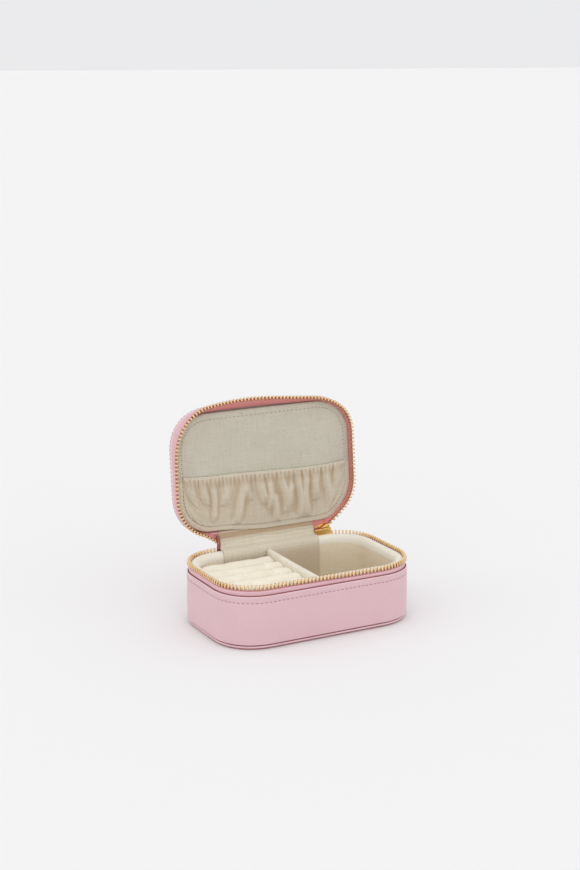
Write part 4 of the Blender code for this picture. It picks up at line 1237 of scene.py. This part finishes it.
slider_face = rounded_loop([(30.7, 37.4), (33.4, 34.4), (41.3, 34.4), (41.3, 38.9), (30.7, 38.6)], 0.5)
slider_back = rounded_loop(
    [(31.8, 35.9), (33.6, 34.0), (42.0, 34.0), (42.1, 37.4), (41.6, 40.7), (38.6, 40.8), (31.8, 38.4)],
    0.6,
)
slider_inner = plate("slider_inner_plate", slider_face, 33.9, 35.1, 0.3, gold)
slider_outer = plate("slider_outer_plate", slider_back, 38.5, 39.5, 0.32, gold)
wedge_loop = rounded_loop([(35.0, 38.7), (41.2, 38.7), (40.9, 40.9), (38.9, 40.9)], 0.4)
neck_loop = rounded_loop([(38.7, 37.25), (41.3, 36.2), (41.3, 38.3)], 0.3)
slider_wedge = plate("slider_wedge", wedge_loop, 35.2, 38.6, 0.3, gold)
slider_neck = plate("slider_neck", neck_loop, 35.2, 38.6, 0.05, gold)
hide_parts("slider_body")
for piece in (slider_inner, slider_outer, slider_wedge, slider_neck):
    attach(piece, "base")

# The bridge, the ring and the pull behind the slider: bent gold wire and a flat bar with a round tip.


def wire(name, path, radius, finish, closed=False, sides=12):
    """Round wire along a path of points: circles of this radius square to the path."""
    path = np.array(path, float)
    if closed:
        ahead = np.roll(path, -1, 0) - np.roll(path, 1, 0)
    else:
        ahead = np.gradient(path, axis=0)
    ahead /= np.linalg.norm(ahead, axis=1)[:, None]
    flat_normal = np.linalg.svd(path - path.mean(0))[2][2]
    beside = np.cross(ahead, flat_normal)
    angle = (np.arange(sides) / sides * 2 * np.pi)[:, None, None]
    grid = path[None] + radius * (
        np.cos(angle) * beside[None] + np.sin(angle) * flat_normal[None, None]
    )
    return surface(name, grid * MM, finish, loop_rows=True, loop_columns=closed)


low, high = (np.array(corner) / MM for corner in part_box("slider_bridge"))
bar_z = (low[2] + high[2]) / 2
left, right, back = low[0] + 0.6, high[0] - 0.6, high[1] - 0.6
BEND, BEND_STEPS, LEG_END = 1.2, 9, 39.3
arch = rounded_loop([(left, 38.9), (left, back), (right, back), (right, 38.9)], BEND, BEND_STEPS)
legs = np.concatenate([[(left, LEG_END)], arch[BEND_STEPS : 3 * BEND_STEPS], [(right, LEG_END)]])
bridge_path = np.stack([legs[:, 0], legs[:, 1], np.full(len(legs), bar_z)], 1)
bridge = wire("slider_bridge_wire", bridge_path, 0.58, gold)
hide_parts("slider_bridge")
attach(bridge, "base")
low, high = (np.array(corner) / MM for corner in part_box("pull_ring"))
near, bottom, far, top = low[1] + 0.5, low[2] + 0.5, high[1] - 0.5, high[2] - 0.5
loop = rounded_loop([(near, bottom), (far, bottom), (far, top), (near, top)], BEND, BEND_STEPS)
ring_path = np.stack([np.full(len(loop), (low[0] + high[0]) / 2), loop[:, 0], loop[:, 1]], 1)
ring = wire("pull_ring_wire", ring_path, 0.48, gold, closed=True)
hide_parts("pull_ring")
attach(ring, "ring")
low, high = (np.array(corner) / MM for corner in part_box("pull_tab"))
PULL_X, PULL_Y = (low[0] + high[0]) / 2, (low[1] + high[1]) / 2
PULL_HALF, PULL_CORNER, PULL_POINTS = 3.0, 2.0, 64
angle = np.linspace(0, 2 * np.pi, PULL_POINTS, endpoint=False)
cos, sin, rounded_foot = np.cos(angle), np.sin(angle), angle > np.pi
square = (cos**4 + sin**4) ** 0.25
outer_x = PULL_HALF * cos / np.where(rounded_foot, 1.0, square)
foot_z = low[2] + PULL_HALF + PULL_HALF * sin
head_z = high[2] - PULL_CORNER + PULL_CORNER * sin / square
outer_z = np.where(rounded_foot, foot_z, head_z)
hole_z = high[2] - PULL_HALF
loops = []
for inset, depth in ((0.3, -0.6), (0.09, -0.51), (0.0, -0.3), (0.0, 0.3), (0.09, 0.51), (0.3, 0.6)):
    x = PULL_X + outer_x * (1 - inset / PULL_HALF)
    z = hole_z + (outer_z - hole_z) * (1 - inset / 6)
    loops.append(np.stack([x, np.full(PULL_POINTS, PULL_Y + depth), z], 1))
for inset, depth in ((0.25, 0.6), (0.07, 0.51), (0.0, 0.3), (0.0, -0.3), (0.07, -0.51), (0.25, -0.6)):
    x, z = PULL_X + (1.2 + inset) * cos, hole_z + (1.5 + inset) * sin
    loops.append(np.stack([x, np.full(PULL_POINTS, PULL_Y + depth), z], 1))
pull_tab = surface("pull_tab_bar", np.array(loops) * MM, gold, loop_rows=True)
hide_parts("pull_tab")
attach(pull_tab, "pull")

low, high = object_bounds()
